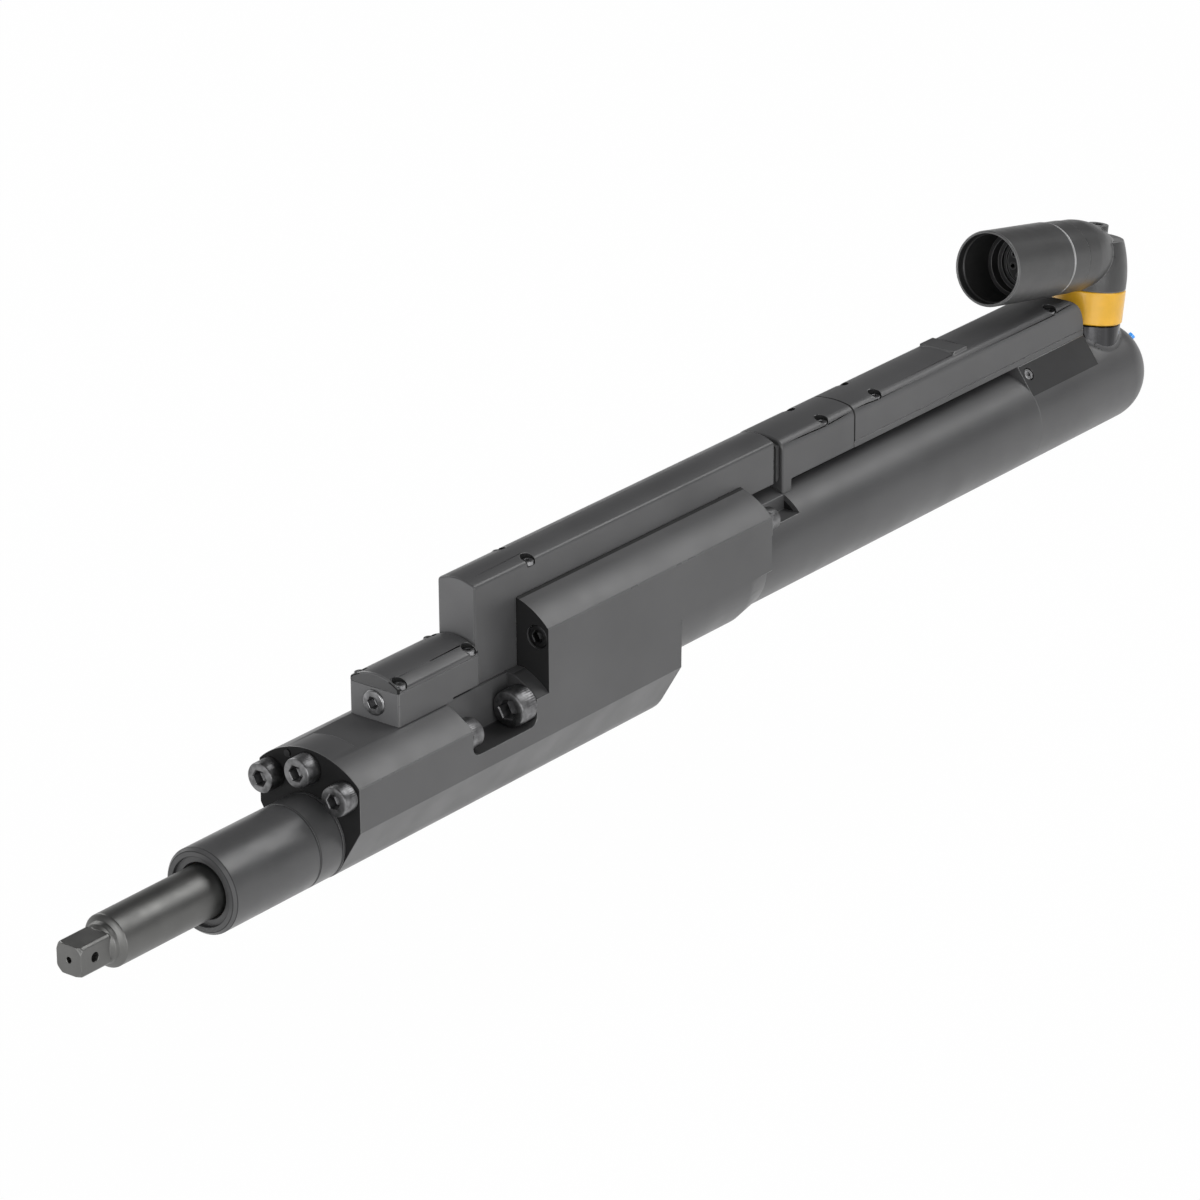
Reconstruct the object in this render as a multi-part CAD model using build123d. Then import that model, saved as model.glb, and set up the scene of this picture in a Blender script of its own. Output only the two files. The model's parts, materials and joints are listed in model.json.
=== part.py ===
"""A fixtured nutrunner: offset gear head, sprung square drive, tube motor and swivel cable connector.

Frame in millimetres: the origin is where the spindle's axis meets the front of the mounting flange,
+X runs back towards the motor and +Z is up. The dowel pin, the motor's cover and the status lens lie to
one side; all the rest is alike on both sides of Y = 0.
"""
import math
import os

from build123d import *

# Square drive and sprung spindle
SQUARE = 12.7            # across flats, a half-inch square drive
SQUARE_LENGTH = 16.1
SQUARE_TURN_R = 8.3      # the corners of the square are turned down to this radius
SQUARE_CHAMFER = 1.2
PIN_HOLE_R = 2.0         # cross hole that takes the socket's retaining pin
PIN_HOLE_FROM_TIP = 8.0
CENTRE_HOLE_R = 1.25
CENTRE_HOLE_DEPTH = 4.0
NECK_LENGTH = 4.2        # cone between the square and the spindle's round part
SPINDLE_R = 11.1
SPINDLE_CHAMFER = 0.8
SPINDLE_REACH = 141.4    # tip of the square to the flange face
SPRING_BORE_R = 7.6
SPRING_BORE_END = 4.0    # web of steel left between the neck and the spring's bore
STOP_COLLAR_R = 12.6     # collar that rests behind the rear bush
STOP_COLLAR_LENGTH = 6.0
SPLINE_HUB_LENGTH = 26.0 # splined length of the spindle's bore, at its rear end

# Splined drive shaft
SPLINES = 6
SPLINE_ROOT_R = 5.6
SPLINE_TIP_R = 7.0
SPLINE_WIDTH = 3.4
SPLINE_CLEARANCE = 0.06
SPLINE_FRONT = -36.0     # the spline's front end, where the spring is seated
SHAFT_R = 9.0            # bearing seats and gear seat
TORSION_R = 6.6          # slim measuring length between the bearings
SHAFT_COLLAR_R = 11.5
SHAFT_COLLAR = 3.0       # length of the collar before the front bearing
TORSION_CONE = 2.0       # length over which the shaft narrows to the measuring length

# Return spring
SPRING_WIRE_R = 0.8
SPRING_R = 6.3           # to the centre of the wire
SPRING_TURNS = 9
SPRING_END_GAP = 0.3

# Guide sleeve and its bushes
SLEEVE_R = 18.3
SLEEVE_REACH = 66.2
SLEEVE_BORE_R = 13.6
SLEEVE_SPIGOT_R = 15.5   # the sleeve's tail, which sits in the housing's front bore
SLEEVE_SPIGOT = 14.0
SLEEVE_CHAMFER = 1.4
SLEEVE_GROOVE_FROM_FLANGE = 15.1
SLEEVE_GROOVE = 0.5
SLEEVE_RIM = 1.9         # chamfered rim ring at the flange
BUSH_LENGTH = 20.0
BUSH_RECESS = 1.6
BUSH_R = 14.6            # head of the front bush, shown as a thin ring in the sleeve's face
RUN_CLEARANCE = 0.05
SEAL_WALL = 0.9
SEAL_WIDTH = 3.0

# Front housing, the lower body
BODY_HALF_WIDTH = 26.15
FLANK_TOP_Z = 7.7        # the flat sides run from here
SIDE_TOP_Z = 26.7        # to here
BELLY_R = 18.5           # underside, around the spindle's axis
FLANGE_THICKNESS = 16.1
TOP_FLAT_Z = 35.4        # flat behind the flange, which carries the transducer block
HEAD_LENGTH = 71.1       # flange face to the front wall of the screw pockets
POCKET_LENGTH = 41.0
POCKET_FLOOR_Z = 15.3
POCKET_WEB = 10.4        # half-width of the web left between the two pockets
POCKET_CORNER_R = 4.0
POCKET_REAR_WALL = 8.0   # screw pockets to the joint with the gear case
JOINT_X = HEAD_LENGTH + POCKET_LENGTH + POCKET_REAR_WALL
CAP_LENGTH = 7.0
CAP_KEY_R = 1.6          # two blind holes for the cap's pin key
CAP_KEY_DEPTH = 3.0
EDGE_BREAK = 0.5

# Gear case, the upper body
AXIS_OFFSET = 30.4       # motor axis above the spindle's axis
CASE_SIDE_TOP_Z = 54.8
CASE_CONE = 15.0         # length over which the round underside narrows to the motor tube
CASE_WALL_BORE_R = 21.5 # bore round the ring gear
LOWER_BORE_R = 15.0      # bore of the lower bearings, the torque coil and the closing cap
PINION_BORE_R = 14.0     # bore of the pinion's bearings
SHAFT_GAP = 0.4          # free space round turned shoulders
SHAFT_PASSAGE = 1.5      # free space round the drive shaft between bearing and gear
ROTOR_PASSAGE = 2.0      # free space round the rotor shaft in its flange and end shield
WIDE = 60.0              # half-width of cuts that run past the outside

# Fasteners: head radius, head height, hexagon across flats, shank radius
M6 = (5.0, 6.0, 5.0, 3.0)
M8 = (6.5, 8.0, 6.0, 4.0)
M10 = (8.0, 10.0, 8.0, 5.0)
M3 = (2.6, 2.0, 2.0, 1.5)
HOLE_CLEARANCE = 0.25
HOLE_SPARE = 2.0         # threaded holes run this far past the screw's tip
HEAD_SPARE = 0.5         # depth of a head's pocket past the head
FLANGE_SCREW_PCR = 29.5
FLANGE_SCREW_STEP = 40.6 # angle between neighbouring screws, in degrees
FLANGE_SCREW_LENGTH = 16.0
REAR_FLANGE_SCREW_LENGTH = 30.0
POCKET_SCREW_Y = 18.8
POCKET_SCREW_Z = 23.6
POCKET_SCREW_LENGTH = 26.0
CASE_SCREW_Y = 20.2
CASE_SCREW_Z = 50.0
CASE_SCREW_SUNK = 6.4
CASE_SCREW_LENGTH = 24.0
MOTOR_SCREW_Y = 19.4
MOTOR_SCREW_Z = 50.6
MOTOR_SCREW_LENGTH = 18.0
DOWEL_R = 1.6
DOWEL_Y = 11.1
DOWEL_Z = 32.8
DOWEL_LENGTH = 9.0
DOWEL_PROUD = 0.4

# Gears
OUTPUT_TEETH = 19
PINION_TEETH = 19
GEAR_MODULE = 1.6
PRESSURE_ANGLE = 20.0
GEAR_FROM_JOINT = 47.9   # joint plane to the gears' front sides
GEAR_X = JOINT_X + GEAR_FROM_JOINT
GEAR_WIDTH = 20.0
GEAR_BACKLASH = 0.12
GEAR_BORE_R = 17.2       # chamber of the lower gear and of the pinion
GEAR_SIDE_GAP = 1.5
GEAR_DISH = 3.0           # depth of the turned recess in each side of the output gear
GEAR_DISH_R = 12.2
CIRCLIP = 1.2
CIRCLIP_DEPTH = 0.4
SUN_TEETH = 15
PLANET_TEETH = 15
PLANET_MODULE = 0.8
PLANETS = 3
PLANET_WIDTH = 14.0
PLANET_BACKLASH = 0.12
PLANET_PIN_R = 2.5
RING_ADDENDUM = 0.7
CARRIER_R = 17.0
CARRIER_PLATE = 5.0
PLANET_END_GAP = 0.3
PLANET_CHAMBER = 12.0    # the wide bore starts this far in front of the planets
PIN_HEAD = 1.5
PIN_HEAD_RIM = 1.2       # planet pin's head beyond its shank
PINION_SHAFT_R = 8.0

# Bearings: bore radius comes from the shaft
BEARING_WIDTH = 8.0
BEARING_RACE = 2.1
BEARING_SHIELD_SUNK = 0.5
BEARING_SET_BACK = 7.9   # front and middle bearings behind the planes they are fitted from
GEAR_TO_BEARING = 4.0    # output gear to the bearing behind it
PINION_OVERHANG = 6.0    # pinion to the bearing on either side of it
PLANETS_TO_BEARING = 16.0
FRONT_BEARING_X = HEAD_LENGTH + BEARING_SET_BACK
MIDDLE_BEARING_X = JOINT_X + BEARING_SET_BACK
REAR_BEARING_X = GEAR_X + GEAR_WIDTH + GEAR_TO_BEARING
PINION_FRONT_BEARING_X = GEAR_X - PINION_OVERHANG - BEARING_WIDTH
PINION_REAR_BEARING_X = GEAR_X + GEAR_WIDTH + PINION_OVERHANG
PLANET_X = PINION_REAR_BEARING_X + BEARING_WIDTH + PLANETS_TO_BEARING

# The two bodies end where their gears and bearings do
SHAFT_TAIL = 1.5         # drive shaft behind its last bearing
CAP_GAP = 1.1            # drive shaft to the closing cap
LOWER_LENGTH = REAR_BEARING_X + BEARING_WIDTH + SHAFT_TAIL + CAP_GAP + CAP_LENGTH
CASE_TAIL = 41.3         # planet gears to the motor's front flange
MOTOR_FRONT = PLANET_X + PLANET_WIDTH + CASE_TAIL

# Torque transducer
COIL_FROM_BEARING = 5.0
COIL_X = FRONT_BEARING_X + BEARING_WIDTH + COIL_FROM_BEARING
COIL_LENGTH = 22.0
COIL_BORE_R = 9.5
BLOCK_FRONT = 40.9
BLOCK_LENGTH = 50.8
BLOCK_HALF_WIDTH = 12.75
BLOCK_SEAM_Z = 49.8
BLOCK_STEP_X = HEAD_LENGTH + 3.9   # the block's underside steps up behind the round body
BLOCK_STEP = 1.4
BLOCK_WALL = 3.0
LID_TOP_Z = 56.0
LID_CROWN = 4.2          # rise of the lid's crown over its side edges
LID_EDGE_Z = LID_TOP_Z - LID_CROWN
LID_WALL = 2.0
LID_CORNER_R = 1.4
LID_SCREW_IN = 3.6
LID_SEAT = 0.9           # the lid screws' seats lie this far below the lid's side edge
SCALLOP_GAP = 0.35
BOSS_WALL = 1.0          # boss round a small screw, inside the cover it holds
BOSS_DEPTH = 3.0         # boss below the screw's seat
SMALL_SCREW_LENGTH = 7.0
SMALL_SCREW_BORE = 8.0   # depth of a small screw's hole
BOARD = 1.6
BOARD_GAP = 0.4          # between a board's edge and its wall
BOARD_PART = 6.0         # length of each part on a board
BOARD_PART_HEIGHT = 2.0
PLUG_R = 5.5
PLUG_Z = 43.3
PLUG_DEPTH = 6.0
PLUG_HEAD = 1.0
PLUG_SHANK = 0.75        # shank radius as a share of the head's

# Cable channel
CHANNEL_GAP = 1.5        # transducer block to the channel
CHANNEL_FRONT = BLOCK_FRONT + BLOCK_LENGTH + CHANNEL_GAP
CHANNEL_HALF_WIDTH = 9.6
CHANNEL_CROWN_Z = 80.2
CHANNEL_CROWN = 2.4      # rise of the crown over the side edges
CHANNEL_EDGE_Z = CHANNEL_CROWN_Z - CHANNEL_CROWN
CHANNEL_CORNER_R = 2.0
CHANNEL_SEAT_Z = TOP_FLAT_Z - 0.6
CHANNEL_INNER_Z = 68.5
CHANNEL_FRONT_R = 1.0
CHANNEL_TAIL_Z = 58.8
CHANNEL_WALL = 2.0
CHANNEL_SCREW_IN = 9.9   # the channel's screws stand this far behind the joint plane
CHANNEL_SCREW_Y = 7.6
CHANNEL_SCREW_SINK = 4.4 # seats of the channel's screws below its crown
DUCT_INSET = 1.6
DUCT_LENGTH = 6.5

# Motor tube and covers
MOTOR_R = 23.6
MOTOR_WALL = 2.4
RECESS_LENGTH = 30.8     # front flange, with the recesses of its screws
RECESS_REAR = MOTOR_FRONT + RECESS_LENGTH
SPIGOT = 1.6             # the front flange's spigot in the motor tube
RECESS_IN_Y = 9.8
RECESS_FLOOR_Z = 45.4
EAR = 3.0                # thickness of the motor flange's ears
COVER_FRONT = RECESS_REAR - 0.6
CHANNEL_REAR = COVER_FRONT - DUCT_LENGTH
COVER_FOOT = 6.5         # length of the foot that reaches down to the tube
COVER_FRONT_LENGTH = 53.1
COVER_SPLIT = COVER_FRONT + COVER_FRONT_LENGTH
COVER_HALF_WIDTH = 12.4
COVER_Y = COVER_HALF_WIDTH - CHANNEL_HALF_WIDTH   # near sides flush with the channel, far side wider
COVER_BOTTOM_Z = 57.3
COVER_SEAM_Z = 60.0
COVER_CROWN_Z = 77.4
COVER_CROWN = 1.9        # rise of the crown over the side edges
COVER_EDGE_Z = COVER_CROWN_Z - COVER_CROWN
COVER_CORNER_R = 5.0
COVER_WALL = 1.8
RAIL_HALF_WIDTH = 4.6
COVER_GAP = 0.3
COVER_SCREW_Y = 8.8
COVER_SCREW_SINK = 4.4   # seats of the cover's screws below its crown
FRONT_SCREW_IN = 32.9    # screw pairs behind the cover's front, behind its split and before its rear
SPLIT_SCREW_IN = 19.6
REAR_SCREW_IN = 23.1
COVER_REAR_R = 16.0
PAD_IN = 79.8            # flat pad across the long cover, behind the split
PAD_LENGTH = 10.2
PAD_HALF_WIDTH = 9.4
PAD_PROUD = 0.2          # pad above the cover's crown
BOARD_IN = 11.0          # drive board to the long cover's two ends
BOARD_Z = 64.0
RIB = 4.0                # ribs under the drive board
RIB_IN = 2.0             # ribs to the board's ends
STRIP_LENGTH = 1.6       # light edge of the inner sheet, seen in the gap before the covers

# Motor inside
STATOR_FROM_FLANGE = 11.9
STATOR_X = RECESS_REAR + STATOR_FROM_FLANGE
STATOR_LENGTH = 98.0
STATOR_BORE_R = 12.6
STATOR_SLOTS = 9
SLOT_R = 3.1
WINDING_OVERHANG = 10.0
WINDING_WALL = 1.5       # end turns inside the stator's outer and inner sides
WINDING_GAP = 0.2        # end turns to the stator's faces
ROTOR_R = 9.4
MAGNET_R = 12.0
ROTOR_SHAFT_R = 5.0
MAGNET_POLES = 8
MAGNET_GAP = 4.0         # angle between neighbouring magnets, in degrees
MAGNET_END = 2.0         # magnets stop this far inside the stator's ends
MOTOR_BEARING_R = 11.0
MOTOR_BEARING_IN = 3.7   # front bearing behind the flange's front face
MOTOR_BEARING_FRONT_X = MOTOR_FRONT + MOTOR_BEARING_IN
STATOR_TO_BEARING = 18.0
MOTOR_BEARING_REAR_X = STATOR_X + STATOR_LENGTH + STATOR_TO_BEARING
END_SHIELD_RIM = 1.0     # end shield behind its bearing
END_SHIELD_WEB = 2.0     # and before it
LEAD_WINDOW_R = 2.6      # three round windows for the motor's leads
LEAD_WINDOW_PCR = 16.4
RESOLVER_X = MOTOR_BEARING_REAR_X + BEARING_WIDTH + END_SHIELD_RIM
RESOLVER_LENGTH = 12.0
RESOLVER_R = 14.0
RESOLVER_BORE_R = 8.4

# Rear housing
LEAD_SPACE = 30.1        # resolver to the end of the motor tube
REAR_X = RESOLVER_X + RESOLVER_LENGTH + LEAD_SPACE
REAR_LENGTH = 100.5
REAR_END = REAR_X + REAR_LENGTH
REAR_DOME_R = 22.6
FACET_LENGTH = 53.5
FACET_END = REAR_X + FACET_LENGTH
COVER_REAR = FACET_END
BOARD_FRONT = COVER_SPLIT + BOARD_IN
BOARD_REAR = COVER_REAR - BOARD_IN
FACET_FOOT_Y = 18.9
FACET_FOOT_Z = 44.5
FACET_TOP_Z = COVER_BOTTOM_Z
FACET_NORMAL_Y = 0.81
FACET_SCREW_SUNK = 2.2
REAR_WALL = 2.4
FACET_SCREW_IN = 4.9     # facet screws behind the housing's front
FACET_SCREW_RISE = 0.68  # their height as a share of the facet's, from its foot
FACET_SCREW_LENGTH = 5.0
FACET_SCREW_HOLE = 8.5   # depth of their holes from the facet
LENS_R = 1.7
LENS_PROUD = 1.2
LENS_DEPTH = 1.6
LENS_AZIMUTH = -32.0
LENS_RISE = 38.0

# Swivel connector, in its own tilted frame: its z axis is the swivel axis, its mouth looks along -x
SWIVEL_TILT = 10.5
SWIVEL_X = REAR_END - 32.6         # where the swivel axis passes SWIVEL_Z
SWIVEL_Z = 46.0
NECK_R = 16.1
NECK_TOP = 12.3
NECK_BOTTOM = -20.0
COLLAR_GAP = 0.5         # collar below the neck's top
NECK_SPIGOT_R = 13.0
NECK_SPIGOT_SHORT = 0.6  # spigot's end below the band's top
NECK_EDGE = 0.4
NECK_BORE_R = 9.5
BAND_R = 16.7
BAND_BOTTOM = 12.6
BAND_TOP = 28.1
BAND_RIM = 0.5
NECK_COLLAR_R = 4.0      # the rear housing's rounded collar round the neck
ELBOW_R = 16.5
ELBOW_ROUND = 31.0       # the upright is straight up to here and narrows above
ELBOW_FLAT = 51.2        # flat top round the swivel screw
ELBOW_TOP_R = 12.75
BARREL_Z = 44.1          # barrel axis above the swivel frame's origin
BARREL_R = 17.3
BARREL_MOUTH = 89.2      # swivel axis to mouth
BARREL_SPLIT = 42.5      # swivel axis to the chamfered line behind the front sleeve
BARREL_WALL = 1.4
BARREL_DEPTH = 42.0      # open depth of the mouth
COUPLING_R = 16.9
COUPLING_SEAM = 29.0
MOUTH_LENGTH = 4.0       # the bore is full width over this length
MOUTH_STEP = 0.6         # and narrower by this behind it
INSERT_R = 11.2
INSERT_GAP = 0.2         # between the insert and the ring round it
INSERT_COLLAR = 1.4      # width of the thin collar round the insert's face
INSERT_COLLAR_RISE = 1.2
INSERT_LENGTH = 10.5     # floor to the insert's face
INSERT_RING_R = 13.4
INSERT_LIP = 13.0        # floor to the lip round the insert
RING_LENGTH = 18.3       # floor to the ring's front
KEY_HALF_WIDTH = 1.4     # keyway in the ring round the insert
KEY_LENGTH = 8.0
CONTACTS = 8
CONTACT_PCR = 7.2
CONTACT_R = 1.6
CONTACT_BORE_R = 1.0
CONTACT_BORE = 7.0       # depth of the sockets' bores
CONTACT_PROUD = 0.3
ELBOW_DOME_END = 14.0    # the lying barrel's domed tail ends this far behind the swivel axis
ELBOW_DOME_R = 13.2      # its radius at ELBOW_DOME_MIDDLE before the axis
ELBOW_DOME_MIDDLE = 4.0
ELBOW_DOME_FRONT = 20.0  # it is straight from here to the coupling's seam
ELBOW_NOSE_R = 5.3       # its radius where the rounded nose starts
ELBOW_NOSE = 3.6

os.makedirs("parts", exist_ok=True)
NODES = {}


def keep(name, *solids):
    """Files one node: one solid, or a group of separate solids."""
    flat = []
    for item in solids:
        flat.extend(item.solids() if hasattr(item, "solids") else list(item))
    NODES[name] = flat
    return flat


def rod(x0, x1, radius, y=0.0, z=0.0):
    """A round bar along X."""
    return Pos((x0 + x1) / 2, y, z) * Rot(0, 90, 0) * Cylinder(radius, x1 - x0)


def ring(x0, x1, outer, inner, y=0.0, z=0.0):
    return rod(x0, x1, outer, y, z) - rod(x0 - 1, x1 + 1, inner, y, z)


def turned(points, z=0.0):
    """Turns a closed profile of (x, radius) points about an axis along X at height z."""
    face = make_face(Polyline(*[(x, r) for x, r in points], close=True))
    solid = revolve(Plane.XZ * face, Axis.X)
    return Pos(0, 0, z) * solid


def turned_edges(edges, z=0.0):
    """Turns a closed outline of lines and arcs in (x, radius) about an axis along X at height z."""
    return Pos(0, 0, z) * revolve(Plane.XZ * make_face(edges), Axis.X)


def block(x0, x1, y0, y1, z0, z1):
    return Pos((x0 + x1) / 2, (y0 + y1) / 2, (z0 + z1) / 2) * Box(x1 - x0, y1 - y0, z1 - z0)


def along_x(sketch, x0, x1):
    """Extrudes a sketch drawn in (y, z) from x0 to x1."""
    plane = Plane(origin=(x0, 0, 0), x_dir=(0, 1, 0), z_dir=(1, 0, 0))
    return extrude(plane * sketch, amount=x1 - x0)


def both_sides(solid):
    return [solid, mirror(solid, about=Plane.XZ)]


def cap_screw(size, length, direction=1, sunk_hex=0.55):
    """Socket head screw with its bearing face at x = 0 and its shank along +X (or -X)."""
    head_r, head_h, hexagon, shank_r = size
    edge = head_r * 0.08
    body = turned([(-head_h, 0), (-head_h, head_r - edge), (-head_h + edge, head_r), (0, head_r),
                   (0, shank_r), (length - edge, shank_r), (length, shank_r - edge), (length, 0)])
    key = along_x(RegularPolygon(hexagon / 2, 6, major_radius=False), -head_h - 1, -head_h * (1 - sunk_hex))
    screw = body - key
    return screw if direction > 0 else Rot(0, 0, 180) * screw


def screw_hole(size, x0, x1, y, z, counterbore=0.0):
    """Clearance hole for a screw's shank, with its counterbore from x0 when asked for."""
    hole = rod(x0, x1, size[3] + HOLE_CLEARANCE, y, z)
    if counterbore:
        hole += rod(x0, x0 + counterbore, size[0] + HOLE_CLEARANCE, y, z)
    return hole


def gear_outline(teeth, module, addendum, dedendum, backlash, phase):
    """Involute teeth as one closed outline; a tooth stands at the angle phase, in degrees."""
    pitch_r = teeth * module / 2
    base_r = pitch_r * math.cos(math.radians(PRESSURE_ANGLE))
    tip_r = pitch_r + addendum * module
    root_r = pitch_r - dedendum * module
    half = math.pi / (2 * teeth) - backlash / (2 * pitch_r)
    roll = math.tan(math.radians(PRESSURE_ANGLE)) - math.radians(PRESSURE_ANGLE)
    start_r = max(base_r, root_r)
    radii = [start_r + (tip_r - start_r) * step / 3 for step in range(4)]

    def flank(radius):
        angle = math.acos(min(1.0, base_r / radius))
        return half + roll - (math.tan(angle) - angle)

    points = []
    for tooth in range(teeth):
        centre = math.radians(phase) + 2 * math.pi * tooth / teeth
        side = [(radius, flank(radius)) for radius in radii]
        if root_r < base_r:
            side.insert(0, (root_r, side[0][1]))
        for radius, angle in side:
            points.append((radius * math.cos(centre - angle), radius * math.sin(centre - angle)))
        for radius, angle in reversed(side):
            points.append((radius * math.cos(centre + angle), radius * math.sin(centre + angle)))
    return make_face(Polyline(*points, close=True))


def bearing(x0, bore, outer, z=0.0):
    """Shielded ball bearing: outer ring with its shields, and the inner ring."""
    x1 = x0 + BEARING_WIDTH
    gap = 0.15
    inner_r = bore + BEARING_RACE
    race = outer - BEARING_RACE
    shield0 = x0 + BEARING_SHIELD_SUNK
    shield1 = x1 - BEARING_SHIELD_SUNK
    outer_ring = turned([(x0, outer), (x0, race), (shield0, race), (shield0, inner_r + gap),
                         (shield1, inner_r + gap), (shield1, race), (x1, race), (x1, outer)], z)
    return outer_ring, ring(x0, x1, inner_r, bore, z=z)


def body_profile(half_width, flank_z, side_z, belly_r, axis_z=0.0):
    """Lower body's section: belly arc, slanted flanks, upright sides and round top."""
    distance = math.hypot(half_width, flank_z)
    tangent = math.atan2(flank_z, half_width) - math.acos(belly_r / distance)
    foot = (belly_r * math.cos(tangent), belly_r * math.sin(tangent))
    top = math.hypot(half_width, side_z - axis_z) + axis_z
    outline = [
        ThreePointArc((-foot[0], foot[1]), (0, -belly_r), foot),
        Line(foot, (half_width, flank_z)),
        Line((half_width, flank_z), (half_width, side_z)),
        ThreePointArc((half_width, side_z), (0, top), (-half_width, side_z)),
        Line((-half_width, side_z), (-half_width, flank_z)),
        Line((-half_width, flank_z), (-foot[0], foot[1])),
    ]
    return make_face(outline)


def crowned(half_width, bottom, edge_z, crown_z, corner_r, inset=0.0):
    """Box section with upright sides, rounded top corners and a crowned top."""
    w = half_width - inset
    top = crown_z - inset
    edge = edge_z - inset
    shape = make_face([
        Line((-w, bottom), (w, bottom)), Line((w, bottom), (w, edge)),
        ThreePointArc((w, edge), (0, top), (-w, edge)), Line((-w, edge), (-w, bottom)),
    ])
    corners = [v for v in shape.vertices() if abs(v.Y - edge) < 0.01]
    return fillet(corners, max(corner_r - inset, 0.4))


def make_spindle():
    tip = -SPINDLE_REACH
    neck = tip + SQUARE_LENGTH
    shoulder = neck + NECK_LENGTH
    rear = SLEEVE_SPIGOT + STOP_COLLAR_LENGTH + RUN_CLEARANCE
    square = block(tip, neck + 0.5, -SQUARE / 2, SQUARE / 2, -SQUARE / 2, SQUARE / 2)
    turned_tip = turned([(tip, 0), (tip, SQUARE_TURN_R - SQUARE_CHAMFER),
                         (tip + SQUARE_CHAMFER, SQUARE_TURN_R), (neck + 1, SQUARE_TURN_R), (neck + 1, 0)])
    body = turned([(neck, 0), (neck, SQUARE / 2), (neck + 1.4, SQUARE_TURN_R),
                   (shoulder - 0.9, SQUARE_TURN_R + 0.4),
                   (shoulder, SPINDLE_R - SPINDLE_CHAMFER), (shoulder + SPINDLE_CHAMFER, SPINDLE_R),
                   (SLEEVE_SPIGOT + RUN_CLEARANCE, SPINDLE_R), (SLEEVE_SPIGOT + RUN_CLEARANCE, STOP_COLLAR_R),
                   (rear, STOP_COLLAR_R), (rear, 0)])
    solid = (square & turned_tip) + body
    solid -= rod(tip - 1, tip + CENTRE_HOLE_DEPTH, CENTRE_HOLE_R)
    solid -= Pos(tip + PIN_HOLE_FROM_TIP, 0, 0) * Rot(90, 0, 0) * Cylinder(PIN_HOLE_R, 2 * WIDE)
    bore_front = shoulder + SPRING_BORE_END
    solid -= rod(bore_front, rear - SPLINE_HUB_LENGTH, SPRING_BORE_R)
    solid -= spline(rear - SPLINE_HUB_LENGTH - 1, rear + 1, SPLINE_CLEARANCE)
    return solid, bore_front


def spline(x0, x1, clearance=0.0):
    """Straight-sided spline shaft; with a clearance it is the hub's bore."""
    solid = rod(x0, x1, SPLINE_ROOT_R + clearance)
    half = SPLINE_WIDTH / 2 + clearance
    for tooth in range(SPLINES):
        rib = block(x0, x1, -half, half, 0, SPLINE_TIP_R + clearance)
        solid += Rot(360 / SPLINES * tooth, 0, 0) * rib
    return solid & rod(x0, x1, SPLINE_TIP_R + clearance)


def make_drive_shaft():
    rear = REAR_BEARING_X + BEARING_WIDTH + SHAFT_TAIL
    stub_end = FRONT_BEARING_X - SHAFT_COLLAR
    core = turned([(stub_end, 0), (stub_end, SHAFT_COLLAR_R), (FRONT_BEARING_X, SHAFT_COLLAR_R),
                   (FRONT_BEARING_X, SHAFT_R), (COIL_X - TORSION_CONE, SHAFT_R), (COIL_X, TORSION_R),
                   (COIL_X + COIL_LENGTH, TORSION_R), (COIL_X + COIL_LENGTH + TORSION_CONE, SHAFT_R),
                   (rear - EDGE_BREAK, SHAFT_R), (rear, SHAFT_R - EDGE_BREAK), (rear, 0)])
    return spline(SPLINE_FRONT, stub_end + 0.5) + core


def make_spring(x0, x1):
    """Open coil spring of square wire between its two seats."""
    clear = SPRING_WIRE_R + SPRING_END_GAP
    length = x1 - x0 - 2 * clear
    path = Helix(length / SPRING_TURNS, length, SPRING_R)
    start = Plane(origin=path @ 0, x_dir=(1, 0, 0), z_dir=path % 0)
    coil = sweep(start * Rectangle(2 * SPRING_WIRE_R, 2 * SPRING_WIRE_R), path, is_frenet=True)
    return Pos(x0 + clear, 0, 0) * Rot(0, 90, 0) * coil


def make_sleeve():
    front = -SLEEVE_REACH
    groove = -SLEEVE_GROOVE_FROM_FLANGE
    outline = [(front, BUSH_R), (front, SLEEVE_R - SLEEVE_CHAMFER), (front + SLEEVE_CHAMFER, SLEEVE_R),
               (groove - SLEEVE_GROOVE, SLEEVE_R), (groove, SLEEVE_R - SLEEVE_GROOVE),
               (groove + SLEEVE_GROOVE, SLEEVE_R), (-SLEEVE_RIM, SLEEVE_R),
               (-SLEEVE_RIM + 0.5, SLEEVE_R - 0.5), (-SLEEVE_RIM + 1, SLEEVE_R), (0, SLEEVE_R),
               (0, SLEEVE_SPIGOT_R), (SLEEVE_SPIGOT, SLEEVE_SPIGOT_R), (SLEEVE_SPIGOT, SLEEVE_BORE_R),
               (front + BUSH_LENGTH, SLEEVE_BORE_R), (front + BUSH_LENGTH, BUSH_R)]
    return turned(outline)


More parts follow.
